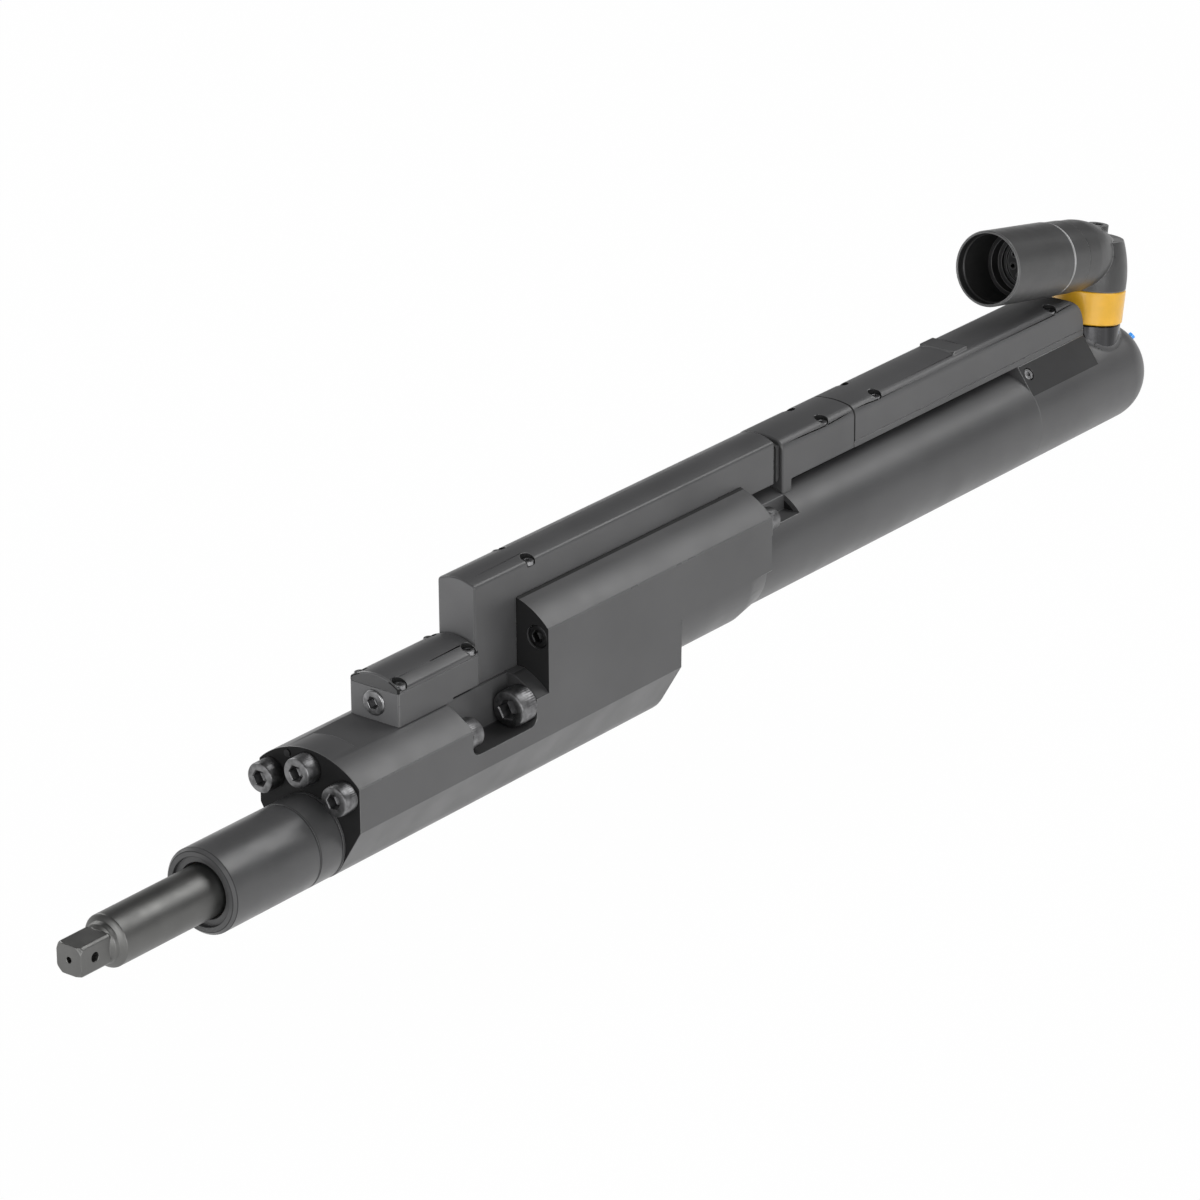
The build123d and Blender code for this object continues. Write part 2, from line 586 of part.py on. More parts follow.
def make_front_housing():
    section = body_profile(BODY_HALF_WIDTH, FLANK_TOP_Z, SIDE_TOP_Z, BELLY_R)
    solid = along_x(section, 0, JOINT_X)
    solid -= block(FLANGE_THICKNESS, HEAD_LENGTH, -WIDE, WIDE, TOP_FLAT_Z, WIDE)
    solid -= block(HEAD_LENGTH, JOINT_X + 1, -WIDE, WIDE, CHANNEL_SEAT_Z, WIDE)
    pocket_end = HEAD_LENGTH + POCKET_LENGTH
    pocket = block(HEAD_LENGTH, pocket_end, POCKET_WEB, WIDE, POCKET_FLOOR_Z, WIDE)
    low = [e for e in pocket.edges().filter_by(Axis.Y) if e.center().Z < POCKET_FLOOR_Z + 1]
    pocket = fillet(low, POCKET_CORNER_R)
    for cut in both_sides(pocket):
        solid -= cut
    solid -= rod(-1, SLEEVE_SPIGOT, SLEEVE_SPIGOT_R)
    solid -= rod(SLEEVE_SPIGOT - 1, FRONT_BEARING_X - 1, SLEEVE_BORE_R + SHAFT_GAP)
    solid -= rod(FRONT_BEARING_X - 1, JOINT_X + 1, LOWER_BORE_R)
    for y, z in flange_screw_places():
        solid -= rod(-1, FLANGE_SCREW_LENGTH + HOLE_SPARE, M8[3], y, z)
    for y, z in flange_screw_places()[::2]:
        solid -= rod(HEAD_LENGTH - REAR_FLANGE_SCREW_LENGTH - HOLE_SPARE, HEAD_LENGTH + 1, M8[3], y, z)
        solid -= rod(HEAD_LENGTH, HEAD_LENGTH + M8[1] + HEAD_SPARE, M8[0] + HOLE_CLEARANCE, y, z)
    for side in (-1, 1):
        solid -= screw_hole(M10, pocket_end - M10[1] - HEAD_SPARE, JOINT_X + 1,
                            side * POCKET_SCREW_Y, POCKET_SCREW_Z, M10[1] + HEAD_SPARE)
    return solid - rod(-1, DOWEL_LENGTH, DOWEL_R, DOWEL_Y, DOWEL_Z)


def flange_screw_places():
    return [(FLANGE_SCREW_PCR * math.cos(math.radians(90 + k * FLANGE_SCREW_STEP)),
             FLANGE_SCREW_PCR * math.sin(math.radians(90 + k * FLANGE_SCREW_STEP))) for k in (-1, 0, 1)]


def case_profile():
    """Upper body's section: round underside about the motor axis, upright sides, round top."""
    w = BODY_HALF_WIDTH
    top_r = math.hypot(w, CASE_SIDE_TOP_Z - AXIS_OFFSET)
    return make_face([
        ThreePointArc((-w, AXIS_OFFSET), (0, AXIS_OFFSET - w), (w, AXIS_OFFSET)),
        Line((w, AXIS_OFFSET), (w, CASE_SIDE_TOP_Z)),
        ThreePointArc((w, CASE_SIDE_TOP_Z), (0, AXIS_OFFSET + top_r), (-w, CASE_SIDE_TOP_Z)),
        Line((-w, CASE_SIDE_TOP_Z), (-w, AXIS_OFFSET)),
    ])


def make_gear_case():
    lower = along_x(body_profile(BODY_HALF_WIDTH, FLANK_TOP_Z, AXIS_OFFSET, BELLY_R), JOINT_X, LOWER_LENGTH)
    upper = along_x(case_profile(), JOINT_X, MOTOR_FRONT)
    w = BODY_HALF_WIDTH
    waste = turned([(MOTOR_FRONT - CASE_CONE, w + 0.01), (MOTOR_FRONT, MOTOR_R), (MOTOR_FRONT + 1, MOTOR_R),
                    (MOTOR_FRONT + 1, w + 9), (MOTOR_FRONT - CASE_CONE, w + 9)], AXIS_OFFSET)
    waste &= block(MOTOR_FRONT - CASE_CONE - 1, MOTOR_FRONT + 2, -WIDE, WIDE, -WIDE, AXIS_OFFSET)
    solid = lower + (upper - waste)
    solid -= rod(JOINT_X - 1, MIDDLE_BEARING_X + BEARING_WIDTH, LOWER_BORE_R)
    solid -= rod(MIDDLE_BEARING_X, GEAR_X, SHAFT_R + SHAFT_PASSAGE)
    solid -= rod(GEAR_X - GEAR_SIDE_GAP, GEAR_X + GEAR_WIDTH + GEAR_SIDE_GAP, GEAR_BORE_R)
    solid -= rod(GEAR_X, LOWER_LENGTH + 1, LOWER_BORE_R)
    solid -= rod(PINION_FRONT_BEARING_X - 2, GEAR_X, PINION_BORE_R, z=AXIS_OFFSET)
    solid -= rod(GEAR_X - GEAR_SIDE_GAP, GEAR_X + GEAR_WIDTH + GEAR_SIDE_GAP, GEAR_BORE_R, z=AXIS_OFFSET)
    solid -= rod(GEAR_X, PLANET_X - PLANET_CHAMBER, PINION_BORE_R, z=AXIS_OFFSET)
    solid -= rod(PLANET_X - PLANET_CHAMBER - 0.5, MOTOR_FRONT + 1, CASE_WALL_BORE_R, z=AXIS_OFFSET)
    for side in (-1, 1):
        solid -= rod(JOINT_X - 1, HEAD_LENGTH + POCKET_LENGTH + POCKET_SCREW_LENGTH + HOLE_SPARE, M10[3],
                     side * POCKET_SCREW_Y, POCKET_SCREW_Z)
        solid -= rod(JOINT_X - 1, JOINT_X + CASE_SCREW_SUNK, M6[0] + HOLE_CLEARANCE,
                     side * CASE_SCREW_Y, CASE_SCREW_Z)
        solid -= rod(JOINT_X, JOINT_X + CASE_SCREW_SUNK + CASE_SCREW_LENGTH + HOLE_SPARE, M6[3],
                     side * CASE_SCREW_Y, CASE_SCREW_Z)
        solid -= rod(MOTOR_FRONT - MOTOR_SCREW_LENGTH, MOTOR_FRONT + 1, M6[3],
                     side * MOTOR_SCREW_Y, MOTOR_SCREW_Z)
    return solid


def make_cap():
    """Closing plug of the lower bore, in the lower body's rear face."""
    front = LOWER_LENGTH - CAP_LENGTH
    rim = LOWER_BORE_R
    solid = turned([(front, 0), (front, rim), (LOWER_LENGTH - EDGE_BREAK, rim),
                    (LOWER_LENGTH, rim - EDGE_BREAK), (LOWER_LENGTH, 0)])
    for side in (-1, 1):
        solid -= rod(LOWER_LENGTH - CAP_KEY_DEPTH, LOWER_LENGTH + 1, CAP_KEY_R, side * rim / 2)
    return solid


def make_pinion():
    """Pinion on its shaft, with the planet carrier's front plate behind it."""
    phase = -90 + 180 / PINION_TEETH
    teeth = along_x(gear_outline(PINION_TEETH, GEAR_MODULE, 1.0, 1.25, GEAR_BACKLASH, phase),
                    GEAR_X, GEAR_X + GEAR_WIDTH)
    plate = PLANET_X - PLANET_END_GAP
    shaft = turned([(PINION_FRONT_BEARING_X - 1, 0),
                    (PINION_FRONT_BEARING_X - 1, PINION_SHAFT_R - EDGE_BREAK),
                    (PINION_FRONT_BEARING_X - 1 + EDGE_BREAK, PINION_SHAFT_R),
                    (plate - CARRIER_PLATE, PINION_SHAFT_R),
                    (plate - CARRIER_PLATE, CARRIER_R), (plate, CARRIER_R), (plate, 0)])
    solid = teeth + shaft
    for angle in planet_angles():
        y, z = planet_place(angle)
        solid -= rod(plate - CARRIER_PLATE - 1, plate + 1, PLANET_PIN_R, y, z)
    return Pos(0, 0, AXIS_OFFSET) * solid


def planet_angles():
    return [90 + 360 / PLANETS * k for k in range(PLANETS)]


def planet_place(angle):
    reach = (SUN_TEETH + PLANET_TEETH) * PLANET_MODULE / 2
    return reach * math.cos(math.radians(angle)), reach * math.sin(math.radians(angle))


def make_planets():
    wheels = []
    for angle in planet_angles():
        y, z = planet_place(angle)
        outline = gear_outline(PLANET_TEETH, PLANET_MODULE, 0.9, 1.2, PLANET_BACKLASH, angle)
        wheel = along_x(outline, PLANET_X, PLANET_X + PLANET_WIDTH)
        wheel -= rod(PLANET_X - 1, PLANET_X + PLANET_WIDTH + 1, PLANET_PIN_R + RUN_CLEARANCE)
        wheels.append(Pos(0, y, z + AXIS_OFFSET) * wheel)
    return wheels


def make_pins():
    plate = PLANET_X - PLANET_END_GAP
    far = PLANET_X + PLANET_WIDTH + PLANET_END_GAP
    pins = []
    for angle in planet_angles():
        y, z = planet_place(angle)
        pins.append(rod(plate - CARRIER_PLATE, far + PIN_HEAD, PLANET_PIN_R, y, z + AXIS_OFFSET)
                    + rod(far, far + PIN_HEAD, PLANET_PIN_R + PIN_HEAD_RIM, y, z + AXIS_OFFSET))
    return pins


def make_ring_gear():
    teeth = SUN_TEETH + 2 * PLANET_TEETH
    space = gear_outline(teeth, PLANET_MODULE, 1.2, RING_ADDENDUM, -PLANET_BACKLASH, 90)
    x0 = PLANET_X - 1
    x1 = PLANET_X + PLANET_WIDTH + 1
    solid = rod(x0, x1, CASE_WALL_BORE_R) - along_x(space, x0 - 1, x1 + 1)
    return Pos(0, 0, AXIS_OFFSET) * solid


def make_rotor():
    """Rotor shaft: the sun gear's teeth are cut on its front end."""
    sun = along_x(gear_outline(SUN_TEETH, PLANET_MODULE, 0.9, 1.2, PLANET_BACKLASH, 90),
                  PLANET_X, PLANET_X + PLANET_WIDTH)
    sun_end = PLANET_X + PLANET_WIDTH
    root_r = (SUN_TEETH - 2.4) * PLANET_MODULE / 2
    rear = RESOLVER_X + RESOLVER_LENGTH + 1
    core0 = STATOR_X
    core1 = STATOR_X + STATOR_LENGTH
    shaft = turned([(sun_end - 0.1, 0), (sun_end - 0.1, root_r), (sun_end + PLANET_END_GAP, root_r),
                    (sun_end + PLANET_END_GAP + PIN_HEAD + 1, ROTOR_SHAFT_R), (core0, ROTOR_SHAFT_R),
                    (core0, ROTOR_R), (core1, ROTOR_R), (core1, ROTOR_SHAFT_R),
                    (rear - EDGE_BREAK, ROTOR_SHAFT_R), (rear, ROTOR_SHAFT_R - EDGE_BREAK), (rear, 0)])
    return Pos(0, 0, AXIS_OFFSET) * (sun + shaft)


def make_magnets():
    """Curved magnets round the rotor core, in pairs of poles."""
    magnets = []
    reach = MOTOR_R
    half = reach * math.tan(math.radians(180 / MAGNET_POLES - MAGNET_GAP / 2))
    wedge = make_face(Polyline((0, 0), (reach, -half), (reach, half), close=True))
    shell = ring(STATOR_X + MAGNET_END, STATOR_X + STATOR_LENGTH - MAGNET_END, MAGNET_R, ROTOR_R)
    for pole in range(MAGNET_POLES):
        magnets.append(Pos(0, 0, AXIS_OFFSET) * Rot(360 / MAGNET_POLES * pole, 0, 0)
                       * (shell & along_x(wedge, STATOR_X, STATOR_X + STATOR_LENGTH)))
    return magnets


def on_circle(radius, count):
    """Places spaced evenly round a circle in (y, z), the first on +Y."""
    turns = [2 * math.pi * k / count for k in range(count)]
    return [(radius * math.cos(turn), radius * math.sin(turn)) for turn in turns]


def slot_places():
    reach = (STATOR_BORE_R + MOTOR_R - MOTOR_WALL) / 2
    return on_circle(reach, STATOR_SLOTS)


def make_stator():
    x1 = STATOR_X + STATOR_LENGTH
    solid = ring(STATOR_X, x1, MOTOR_R - MOTOR_WALL, STATOR_BORE_R)
    for y, z in slot_places():
        solid -= rod(STATOR_X - 1, x1 + 1, SLOT_R, y, z)
    return Pos(0, 0, AXIS_OFFSET) * solid


def make_windings():
    """Copper in the slots, joined by a ring of end turns at each end."""
    x1 = STATOR_X + STATOR_LENGTH
    outer = MOTOR_R - MOTOR_WALL - WINDING_WALL
    inner = STATOR_BORE_R + WINDING_WALL
    solid = ring(x1 + WINDING_GAP, x1 + WINDING_OVERHANG, outer, inner)
    solid += ring(STATOR_X - WINDING_OVERHANG, STATOR_X - WINDING_GAP, outer, inner)
    for y, z in slot_places():
        solid += rod(STATOR_X - 1, x1 + 1, SLOT_R - 0.1, y, z)
    return Pos(0, 0, AXIS_OFFSET) * solid


def make_motor_flange():
    """Motor's front flange: a spigot for the tube, and two ears that its cap screws go through."""
    solid = rod(MOTOR_FRONT, RECESS_REAR, MOTOR_R, z=AXIS_OFFSET)
    ear_y = MOTOR_SCREW_Y + M6[0]
    ears = block(MOTOR_FRONT, MOTOR_FRONT + EAR, -ear_y, ear_y, RECESS_FLOOR_Z, MOTOR_SCREW_Z + M6[0])
    recess = block(MOTOR_FRONT - 1, RECESS_REAR + 1, RECESS_IN_Y, WIDE, RECESS_FLOOR_Z, 2 * WIDE)
    for cut in both_sides(recess):
        solid -= cut
    solid += ears & along_x(case_profile(), MOTOR_FRONT, MOTOR_FRONT + EAR)
    solid += rod(RECESS_REAR, RECESS_REAR + SPIGOT, MOTOR_R - MOTOR_WALL, z=AXIS_OFFSET)
    solid -= rod(MOTOR_FRONT - 1, MOTOR_BEARING_FRONT_X, ROTOR_SHAFT_R + ROTOR_PASSAGE, z=AXIS_OFFSET)
    solid -= rod(MOTOR_BEARING_FRONT_X, RECESS_REAR + SPIGOT + 1, MOTOR_BEARING_R, z=AXIS_OFFSET)
    for side in (-1, 1):
        solid -= rod(MOTOR_FRONT - 1, MOTOR_FRONT + EAR + 1, M6[3] + HOLE_CLEARANCE, side * MOTOR_SCREW_Y,
                     MOTOR_SCREW_Z)
    return solid


def make_motor_tube():
    return ring(RECESS_REAR, REAR_X, MOTOR_R, MOTOR_R - MOTOR_WALL, z=AXIS_OFFSET)


def make_end_shield():
    """Rear bearing's carrier inside the motor tube, with windows for the motor's leads."""
    x0 = MOTOR_BEARING_REAR_X - END_SHIELD_WEB
    x1 = MOTOR_BEARING_REAR_X + BEARING_WIDTH + END_SHIELD_RIM
    solid = rod(x0, x1, MOTOR_R - MOTOR_WALL) - rod(x0 - 1, x1 + 1, ROTOR_SHAFT_R + ROTOR_PASSAGE)
    solid -= rod(MOTOR_BEARING_REAR_X, x1 + 1, MOTOR_BEARING_R)
    for y, z in on_circle(LEAD_WINDOW_PCR, 3):
        solid -= rod(x0 - 1, x1 + 1, LEAD_WINDOW_R, y, z)
    return Pos(0, 0, AXIS_OFFSET) * solid


def rear_housing_skin():
    """Outer form of the rear housing, solid right through."""
    round_part = turned_edges(dome_profile(MOTOR_R, REAR_DOME_R, REAR_END, REAR_X), AXIS_OFFSET)
    collar = neck_collar(round_part)
    roof = along_x(make_face(Polyline((-FACET_FOOT_Y, FACET_FOOT_Z), (FACET_FOOT_Y, FACET_FOOT_Z),
                                      (CHANNEL_HALF_WIDTH, FACET_TOP_Z), (-CHANNEL_HALF_WIDTH, FACET_TOP_Z),
                                      close=True)), REAR_X, FACET_END)
    return round_part + collar + roof


def neck_collar(round_part):
    """Rounded collar where the neck stands on the round housing, behind the roof."""
    frame = Plane(swivel_location())
    top = NECK_TOP + 2 * NECK_COLLAR_R
    stem = swivel(Pos(0, 0, (top - NECK_BOTTOM) / 2 + NECK_BOTTOM) * Cylinder(NECK_R, top - NECK_BOTTOM))

    def on_stem(edge):
        """True for an edge that runs round the stem's side below its top."""
        heights = []
        for share in (0.2, 0.5, 0.8):
            offset = (edge @ share) - frame.origin
            height = offset.dot(frame.z_dir)
            if abs((offset - frame.z_dir * height).length - NECK_R) > 0.01:
                return False
            heights.append(height)
        return max(heights) < top - 0.5 and abs(heights[2] - heights[0]) < edge.length / 2

    foot = [e for e in (round_part + stem).edges() if on_stem(e) and e.center().Z > AXIS_OFFSET]
    rounded = fillet(foot, NECK_COLLAR_R).solids()[0]
    collar = rounded - round_part - stem
    under_band = swivel(Pos(0, 0, NECK_TOP - COLLAR_GAP - WIDE) * Cylinder(WIDE, 2 * WIDE))
    return collar & under_band & block(FACET_END, REAR_END, -WIDE, WIDE, 0, 2 * WIDE)


def make_rear_housing():
    """Domed rear housing: round below, with two facets that rise to the cover."""
    solid = rear_housing_skin()
    hollow = turned_edges(dome_profile(MOTOR_R - REAR_WALL, REAR_DOME_R - REAR_WALL, REAR_END - REAR_WALL,
                                       REAR_X - 1), AXIS_OFFSET)
    solid -= hollow
    solid -= swivel(Cylinder(NECK_BORE_R, 2 * BAND_TOP))
    for side in (-1, 1):
        solid -= facet_place(side) * Cylinder(M3[0] + HOLE_CLEARANCE, 2 * FACET_SCREW_SUNK)
        solid -= facet_place(side) * Cylinder(M3[3], 2 * FACET_SCREW_HOLE)
    lens = lens_place() * Cylinder(LENS_R, 2 * LENS_DEPTH)
    return solid - lens


def dome_profile(radius, dome, end, start):
    centre = end - dome
    arc = [(centre + dome * math.sin(math.radians(a)), radius - dome + dome * math.cos(math.radians(a)))
           for a in (45, 90)]
    edge = [Line((start, 0), (start, radius)), Line((start, radius), (centre, radius)),
            ThreePointArc((centre, radius), arc[0], arc[1])]
    if arc[1][1] > 1e-6:
        edge.append(Line(arc[1], (end, 0)))
    edge.append(Line((end, 0), (start, 0)))
    return edge


def facet_place(side):
    """Frame standing on a facet, its z axis out of the facet."""
    normal = (0, side * FACET_NORMAL_Y, math.sqrt(1 - FACET_NORMAL_Y ** 2))
    y = side * (FACET_FOOT_Y + FACET_SCREW_RISE * (CHANNEL_HALF_WIDTH - FACET_FOOT_Y))
    z = FACET_FOOT_Z + FACET_SCREW_RISE * (FACET_TOP_Z - FACET_FOOT_Z)
    return Location(Plane(origin=(REAR_X + FACET_SCREW_IN, y, z), z_dir=normal))


def lens_place():
    """Frame on the dome's skin where the status lens stands."""
    rise = math.radians(LENS_RISE)
    turn = math.radians(LENS_AZIMUTH)
    normal = (math.cos(rise) * math.cos(turn), math.cos(rise) * math.sin(turn), math.sin(rise))
    centre = (REAR_END - REAR_DOME_R, 0, AXIS_OFFSET)
    foot = [c + MOTOR_R * n for c, n in zip(centre, normal)]
    return Location(Plane(origin=tuple(foot), z_dir=normal))


def swivel_location():
    return Pos(SWIVEL_X, 0, SWIVEL_Z) * Rot(0, SWIVEL_TILT, 0)


def swivel(solid):
    """Moves a solid from the connector's tilted frame to where it stands."""
    return swivel_location() * solid


def lathe_z(points, x=0.0, y=0.0):
    """Turns (radius, z) points about an upright axis."""
    face = make_face(Polyline(*[(r, z) for r, z in points], close=True))
    return Pos(x, y, 0) * revolve(Plane.XZ * face, Axis.Z)


def barrel_part(points):
    """Turns (distance from the swivel axis towards the mouth, radius) points about the barrel's axis."""
    face = make_face(Polyline(*[(-d, r) for d, r in points], close=True))
    return Pos(0, 0, BARREL_Z) * revolve(Plane.XZ * face, Axis.X)


def make_neck(housing_outer):
    spigot_top = BAND_TOP - NECK_SPIGOT_SHORT
    solid = lathe_z([(NECK_BORE_R, NECK_BOTTOM), (NECK_R, NECK_BOTTOM), (NECK_R, NECK_TOP - NECK_EDGE),
                     (NECK_R - NECK_EDGE, NECK_TOP), (NECK_SPIGOT_R, NECK_TOP),
                     (NECK_SPIGOT_R, spigot_top), (NECK_BORE_R, spigot_top)])
    return swivel(solid) - housing_outer


def make_band():
    bore = NECK_SPIGOT_R + RUN_CLEARANCE
    return swivel(lathe_z([(bore, BAND_BOTTOM), (BAND_R - BAND_RIM, BAND_BOTTOM),
                           (BAND_R, BAND_BOTTOM + BAND_RIM),
                           (BAND_R, BAND_TOP - BAND_RIM), (BAND_R - BAND_RIM, BAND_TOP), (bore, BAND_TOP)]))


def make_elbow():
    """Elbow: upright barrel with a flat top and its swivel screw, and the lying barrel's domed tail."""
    upright = revolve(Plane.XZ * make_face([
        Line((0, BAND_TOP), (ELBOW_R - NECK_EDGE, BAND_TOP)),
        Line((ELBOW_R - NECK_EDGE, BAND_TOP), (ELBOW_R, BAND_TOP + NECK_EDGE)),
        Line((ELBOW_R, BAND_TOP + NECK_EDGE), (ELBOW_R, ELBOW_ROUND)),
        ThreePointArc((ELBOW_R, ELBOW_ROUND), *elbow_taper()),
        Line(elbow_taper()[1], (0, ELBOW_FLAT)), Line((0, ELBOW_FLAT), (0, BAND_TOP))]), Axis.Z)
    seam_r = COUPLING_R - 0.3
    nose = (ELBOW_DOME_END - ELBOW_NOSE, ELBOW_NOSE_R)
    tip = (ELBOW_DOME_END, 0)
    shoulder = (ELBOW_DOME_END - ELBOW_NOSE * 0.3, ELBOW_NOSE_R * 0.6)
    dome = [Line((-COUPLING_SEAM, 0), (-COUPLING_SEAM, seam_r)),
            Line((-COUPLING_SEAM, seam_r), (-ELBOW_DOME_FRONT, seam_r)),
            ThreePointArc((-ELBOW_DOME_FRONT, seam_r), (-ELBOW_DOME_MIDDLE, ELBOW_DOME_R), nose),
            ThreePointArc(nose, shoulder, tip), Line(tip, (-COUPLING_SEAM, 0))]
    lying = Pos(0, 0, BARREL_Z) * revolve(Plane.XZ * make_face(dome), Axis.X)
    clear = BAND_R + 0.3
    solid = upright + (lying - Pos(0, 0, BAND_TOP - clear) * Cylinder(clear, 2 * clear))
    head_r, head_height, hexagon, _ = M6
    solid += Pos(0, 0, ELBOW_FLAT + head_height / 2 - 1) * Cylinder(head_r, head_height + 2)
    hexagon_form = RegularPolygon(hexagon / 2, 6, major_radius=False)
    key = extrude(Pos(0, 0, ELBOW_FLAT + head_height / 2) * hexagon_form, amount=head_height)
    return swivel(solid - key)


def elbow_taper():
    """Middle and end of the arc by which the upright narrows to its flat top."""
    rise = ELBOW_FLAT - ELBOW_ROUND
    inward = ELBOW_R - ELBOW_TOP_R
    return (ELBOW_R - inward * 0.3, ELBOW_ROUND + rise * 0.55), (ELBOW_TOP_R, ELBOW_FLAT)


def make_coupling():
    """Rear ring of the barrel, with its two seams."""
    r = COUPLING_R
    return swivel(barrel_part([(COUPLING_SEAM, 0), (COUPLING_SEAM, r - 0.5), (COUPLING_SEAM + 0.5, r),
                               (BARREL_SPLIT - 0.8, r), (BARREL_SPLIT, r - 0.8), (BARREL_SPLIT, 0)]))


def make_barrel():
    r = BARREL_R
    bore = r - BARREL_WALL
    floor = BARREL_MOUTH - BARREL_DEPTH
    return swivel(barrel_part([(BARREL_SPLIT, 0), (BARREL_SPLIT, r - 1.0), (BARREL_SPLIT + 1.0, r),
                               (BARREL_MOUTH - 0.5, r), (BARREL_MOUTH, r - 0.5), (BARREL_MOUTH, bore + 0.4),
                               (BARREL_MOUTH - 0.4, bore), (BARREL_MOUTH - MOUTH_LENGTH, bore),
                               (BARREL_MOUTH - MOUTH_LENGTH - MOUTH_STEP, bore - MOUTH_STEP),
                               (floor, bore - MOUTH_STEP), (floor, 0)]))


def make_insert_ring():
    """Stepped key ring in the barrel, with the lip round the contact insert."""
    floor = BARREL_MOUTH - BARREL_DEPTH
    outer = BARREL_R - BARREL_WALL - MOUTH_STEP
    inner = INSERT_R + INSERT_GAP
    front = floor + RING_LENGTH
    lip = floor + INSERT_LIP
    solid = barrel_part([(floor, outer), (front, outer), (front, INSERT_RING_R), (lip, INSERT_RING_R),
                         (lip, inner), (floor, inner)])
    key = block(-front - 1, -front + KEY_LENGTH, -KEY_HALF_WIDTH, KEY_HALF_WIDTH,
                BARREL_Z + INSERT_RING_R - KEY_HALF_WIDTH, BARREL_Z + outer - INSERT_GAP)
    return swivel(solid - key)


def make_insert():
    """Insert that holds the contacts, its face inside a thin collar."""
    floor = BARREL_MOUTH - BARREL_DEPTH
    face = floor + INSERT_LENGTH
    collar = face + INSERT_COLLAR_RISE
    inner = INSERT_R - INSERT_COLLAR
    solid = barrel_part([(floor, 0), (floor, INSERT_R), (collar, INSERT_R), (collar, inner), (face, inner),
                         (face, 0)])
    for y, z in contact_places():
        solid -= rod(-face - 1, -floor + 1, CONTACT_R + 0.02, y, BARREL_Z + z)
    return swivel(solid)


def contact_places():
    """The middle contact and the circle of contacts round it, which stands half a step from level."""
    half_step = math.pi / CONTACTS
    turns = [half_step + 2 * math.pi * k / CONTACTS for k in range(CONTACTS)]
    return [(CONTACT_PCR * math.cos(turn), CONTACT_PCR * math.sin(turn)) for turn in turns] + [(0.0, 0.0)]


def make_contacts():
    """Bored sockets that stand a little proud of the insert's face."""
    floor = BARREL_MOUTH - BARREL_DEPTH
    tip = floor + INSERT_LENGTH + CONTACT_PROUD
    sockets = []
    for y, z in contact_places():
        socket = rod(-tip, -floor - 0.3, CONTACT_R, y, BARREL_Z + z)
        socket -= rod(-tip - 1, -tip + CONTACT_BORE, CONTACT_BORE_R, y, BARREL_Z + z)
        sockets.append(swivel(socket))
    return sockets


def make_block():
    rear = BLOCK_FRONT + BLOCK_LENGTH
    solid = block(BLOCK_FRONT, rear, -BLOCK_HALF_WIDTH, BLOCK_HALF_WIDTH, TOP_FLAT_Z, BLOCK_SEAM_Z)
    solid = chamfer(solid.edges().filter_by(Axis.Z), EDGE_BREAK)
    solid -= block(BLOCK_STEP_X, rear + 1, -WIDE, WIDE, TOP_FLAT_Z - 1, TOP_FLAT_Z + BLOCK_STEP)
    inner = BLOCK_HALF_WIDTH - BLOCK_WALL
    solid -= block(BLOCK_FRONT + 2 * BLOCK_WALL, rear - 2 * BLOCK_WALL, -inner, inner,
                   TOP_FLAT_Z + BLOCK_WALL + BLOCK_STEP, BLOCK_SEAM_Z + 1)
    solid -= rod(BLOCK_FRONT - 1, BLOCK_FRONT + PLUG_DEPTH, PLUG_R * PLUG_SHANK, z=PLUG_Z)
    for x, y in lid_screw_places():
        solid -= Pos(x, y, BLOCK_SEAM_Z) * Cylinder(M3[3], 2 * SMALL_SCREW_BORE)
    return solid


def lid_screw_places():
    xs = (BLOCK_FRONT + LID_SCREW_IN, BLOCK_FRONT + BLOCK_LENGTH - LID_SCREW_IN)
    y = BLOCK_HALF_WIDTH - LID_SCREW_IN + 1
    return [(x, side * y) for x in xs for side in (-1, 1)]


def make_plug():
    """Screwed plug in the block's front face, with a hexagon for its key."""
    head = BLOCK_FRONT - PLUG_HEAD
    end = BLOCK_FRONT + PLUG_DEPTH
    shank = PLUG_R * PLUG_SHANK
    plug = turned([(head, 0), (head, PLUG_R - EDGE_BREAK), (head + EDGE_BREAK, PLUG_R),
                   (BLOCK_FRONT, PLUG_R), (BLOCK_FRONT, shank), (end, shank), (end, 0)], PLUG_Z)
    key = along_x(RegularPolygon(M6[2] / 2, 6, major_radius=False), head - 1, BLOCK_FRONT + PLUG_DEPTH / 2)
    return plug - Pos(0, 0, PLUG_Z) * key


def make_lid():
    rear = BLOCK_FRONT + BLOCK_LENGTH
    section = crowned(BLOCK_HALF_WIDTH, BLOCK_SEAM_Z, LID_EDGE_Z, LID_TOP_Z, LID_CORNER_R)
    solid = along_x(section, BLOCK_FRONT, rear)
    solid = chamfer(solid.edges().filter_by(Axis.Z), EDGE_BREAK)
    hollow = crowned(BLOCK_HALF_WIDTH, BLOCK_SEAM_Z - 1, LID_EDGE_Z, LID_TOP_Z, LID_CORNER_R, LID_WALL)
    solid -= along_x(hollow, BLOCK_FRONT + 3 * BLOCK_WALL, rear - 3 * BLOCK_WALL)
    for x, y in lid_screw_places():
        solid -= scallop(x, y, LID_EDGE_Z - LID_SEAT)
        solid -= Pos(x, y, BLOCK_SEAM_Z) * Cylinder(M3[3] + 0.1, 2 * SMALL_SCREW_BORE)
    return solid


def scallop(x, y, seat_z):
    """Round clearance for a small screw's head, open above its seat."""
    return Pos(x, y, seat_z + 10) * Cylinder(M3[0] + SCALLOP_GAP, 20)


def small_screw(x, y, seat_z, length):
    """Small screw standing upright with its head on the seat."""
    return Pos(x, y, seat_z) * Rot(0, 90, 0) * cap_screw(M3, length)


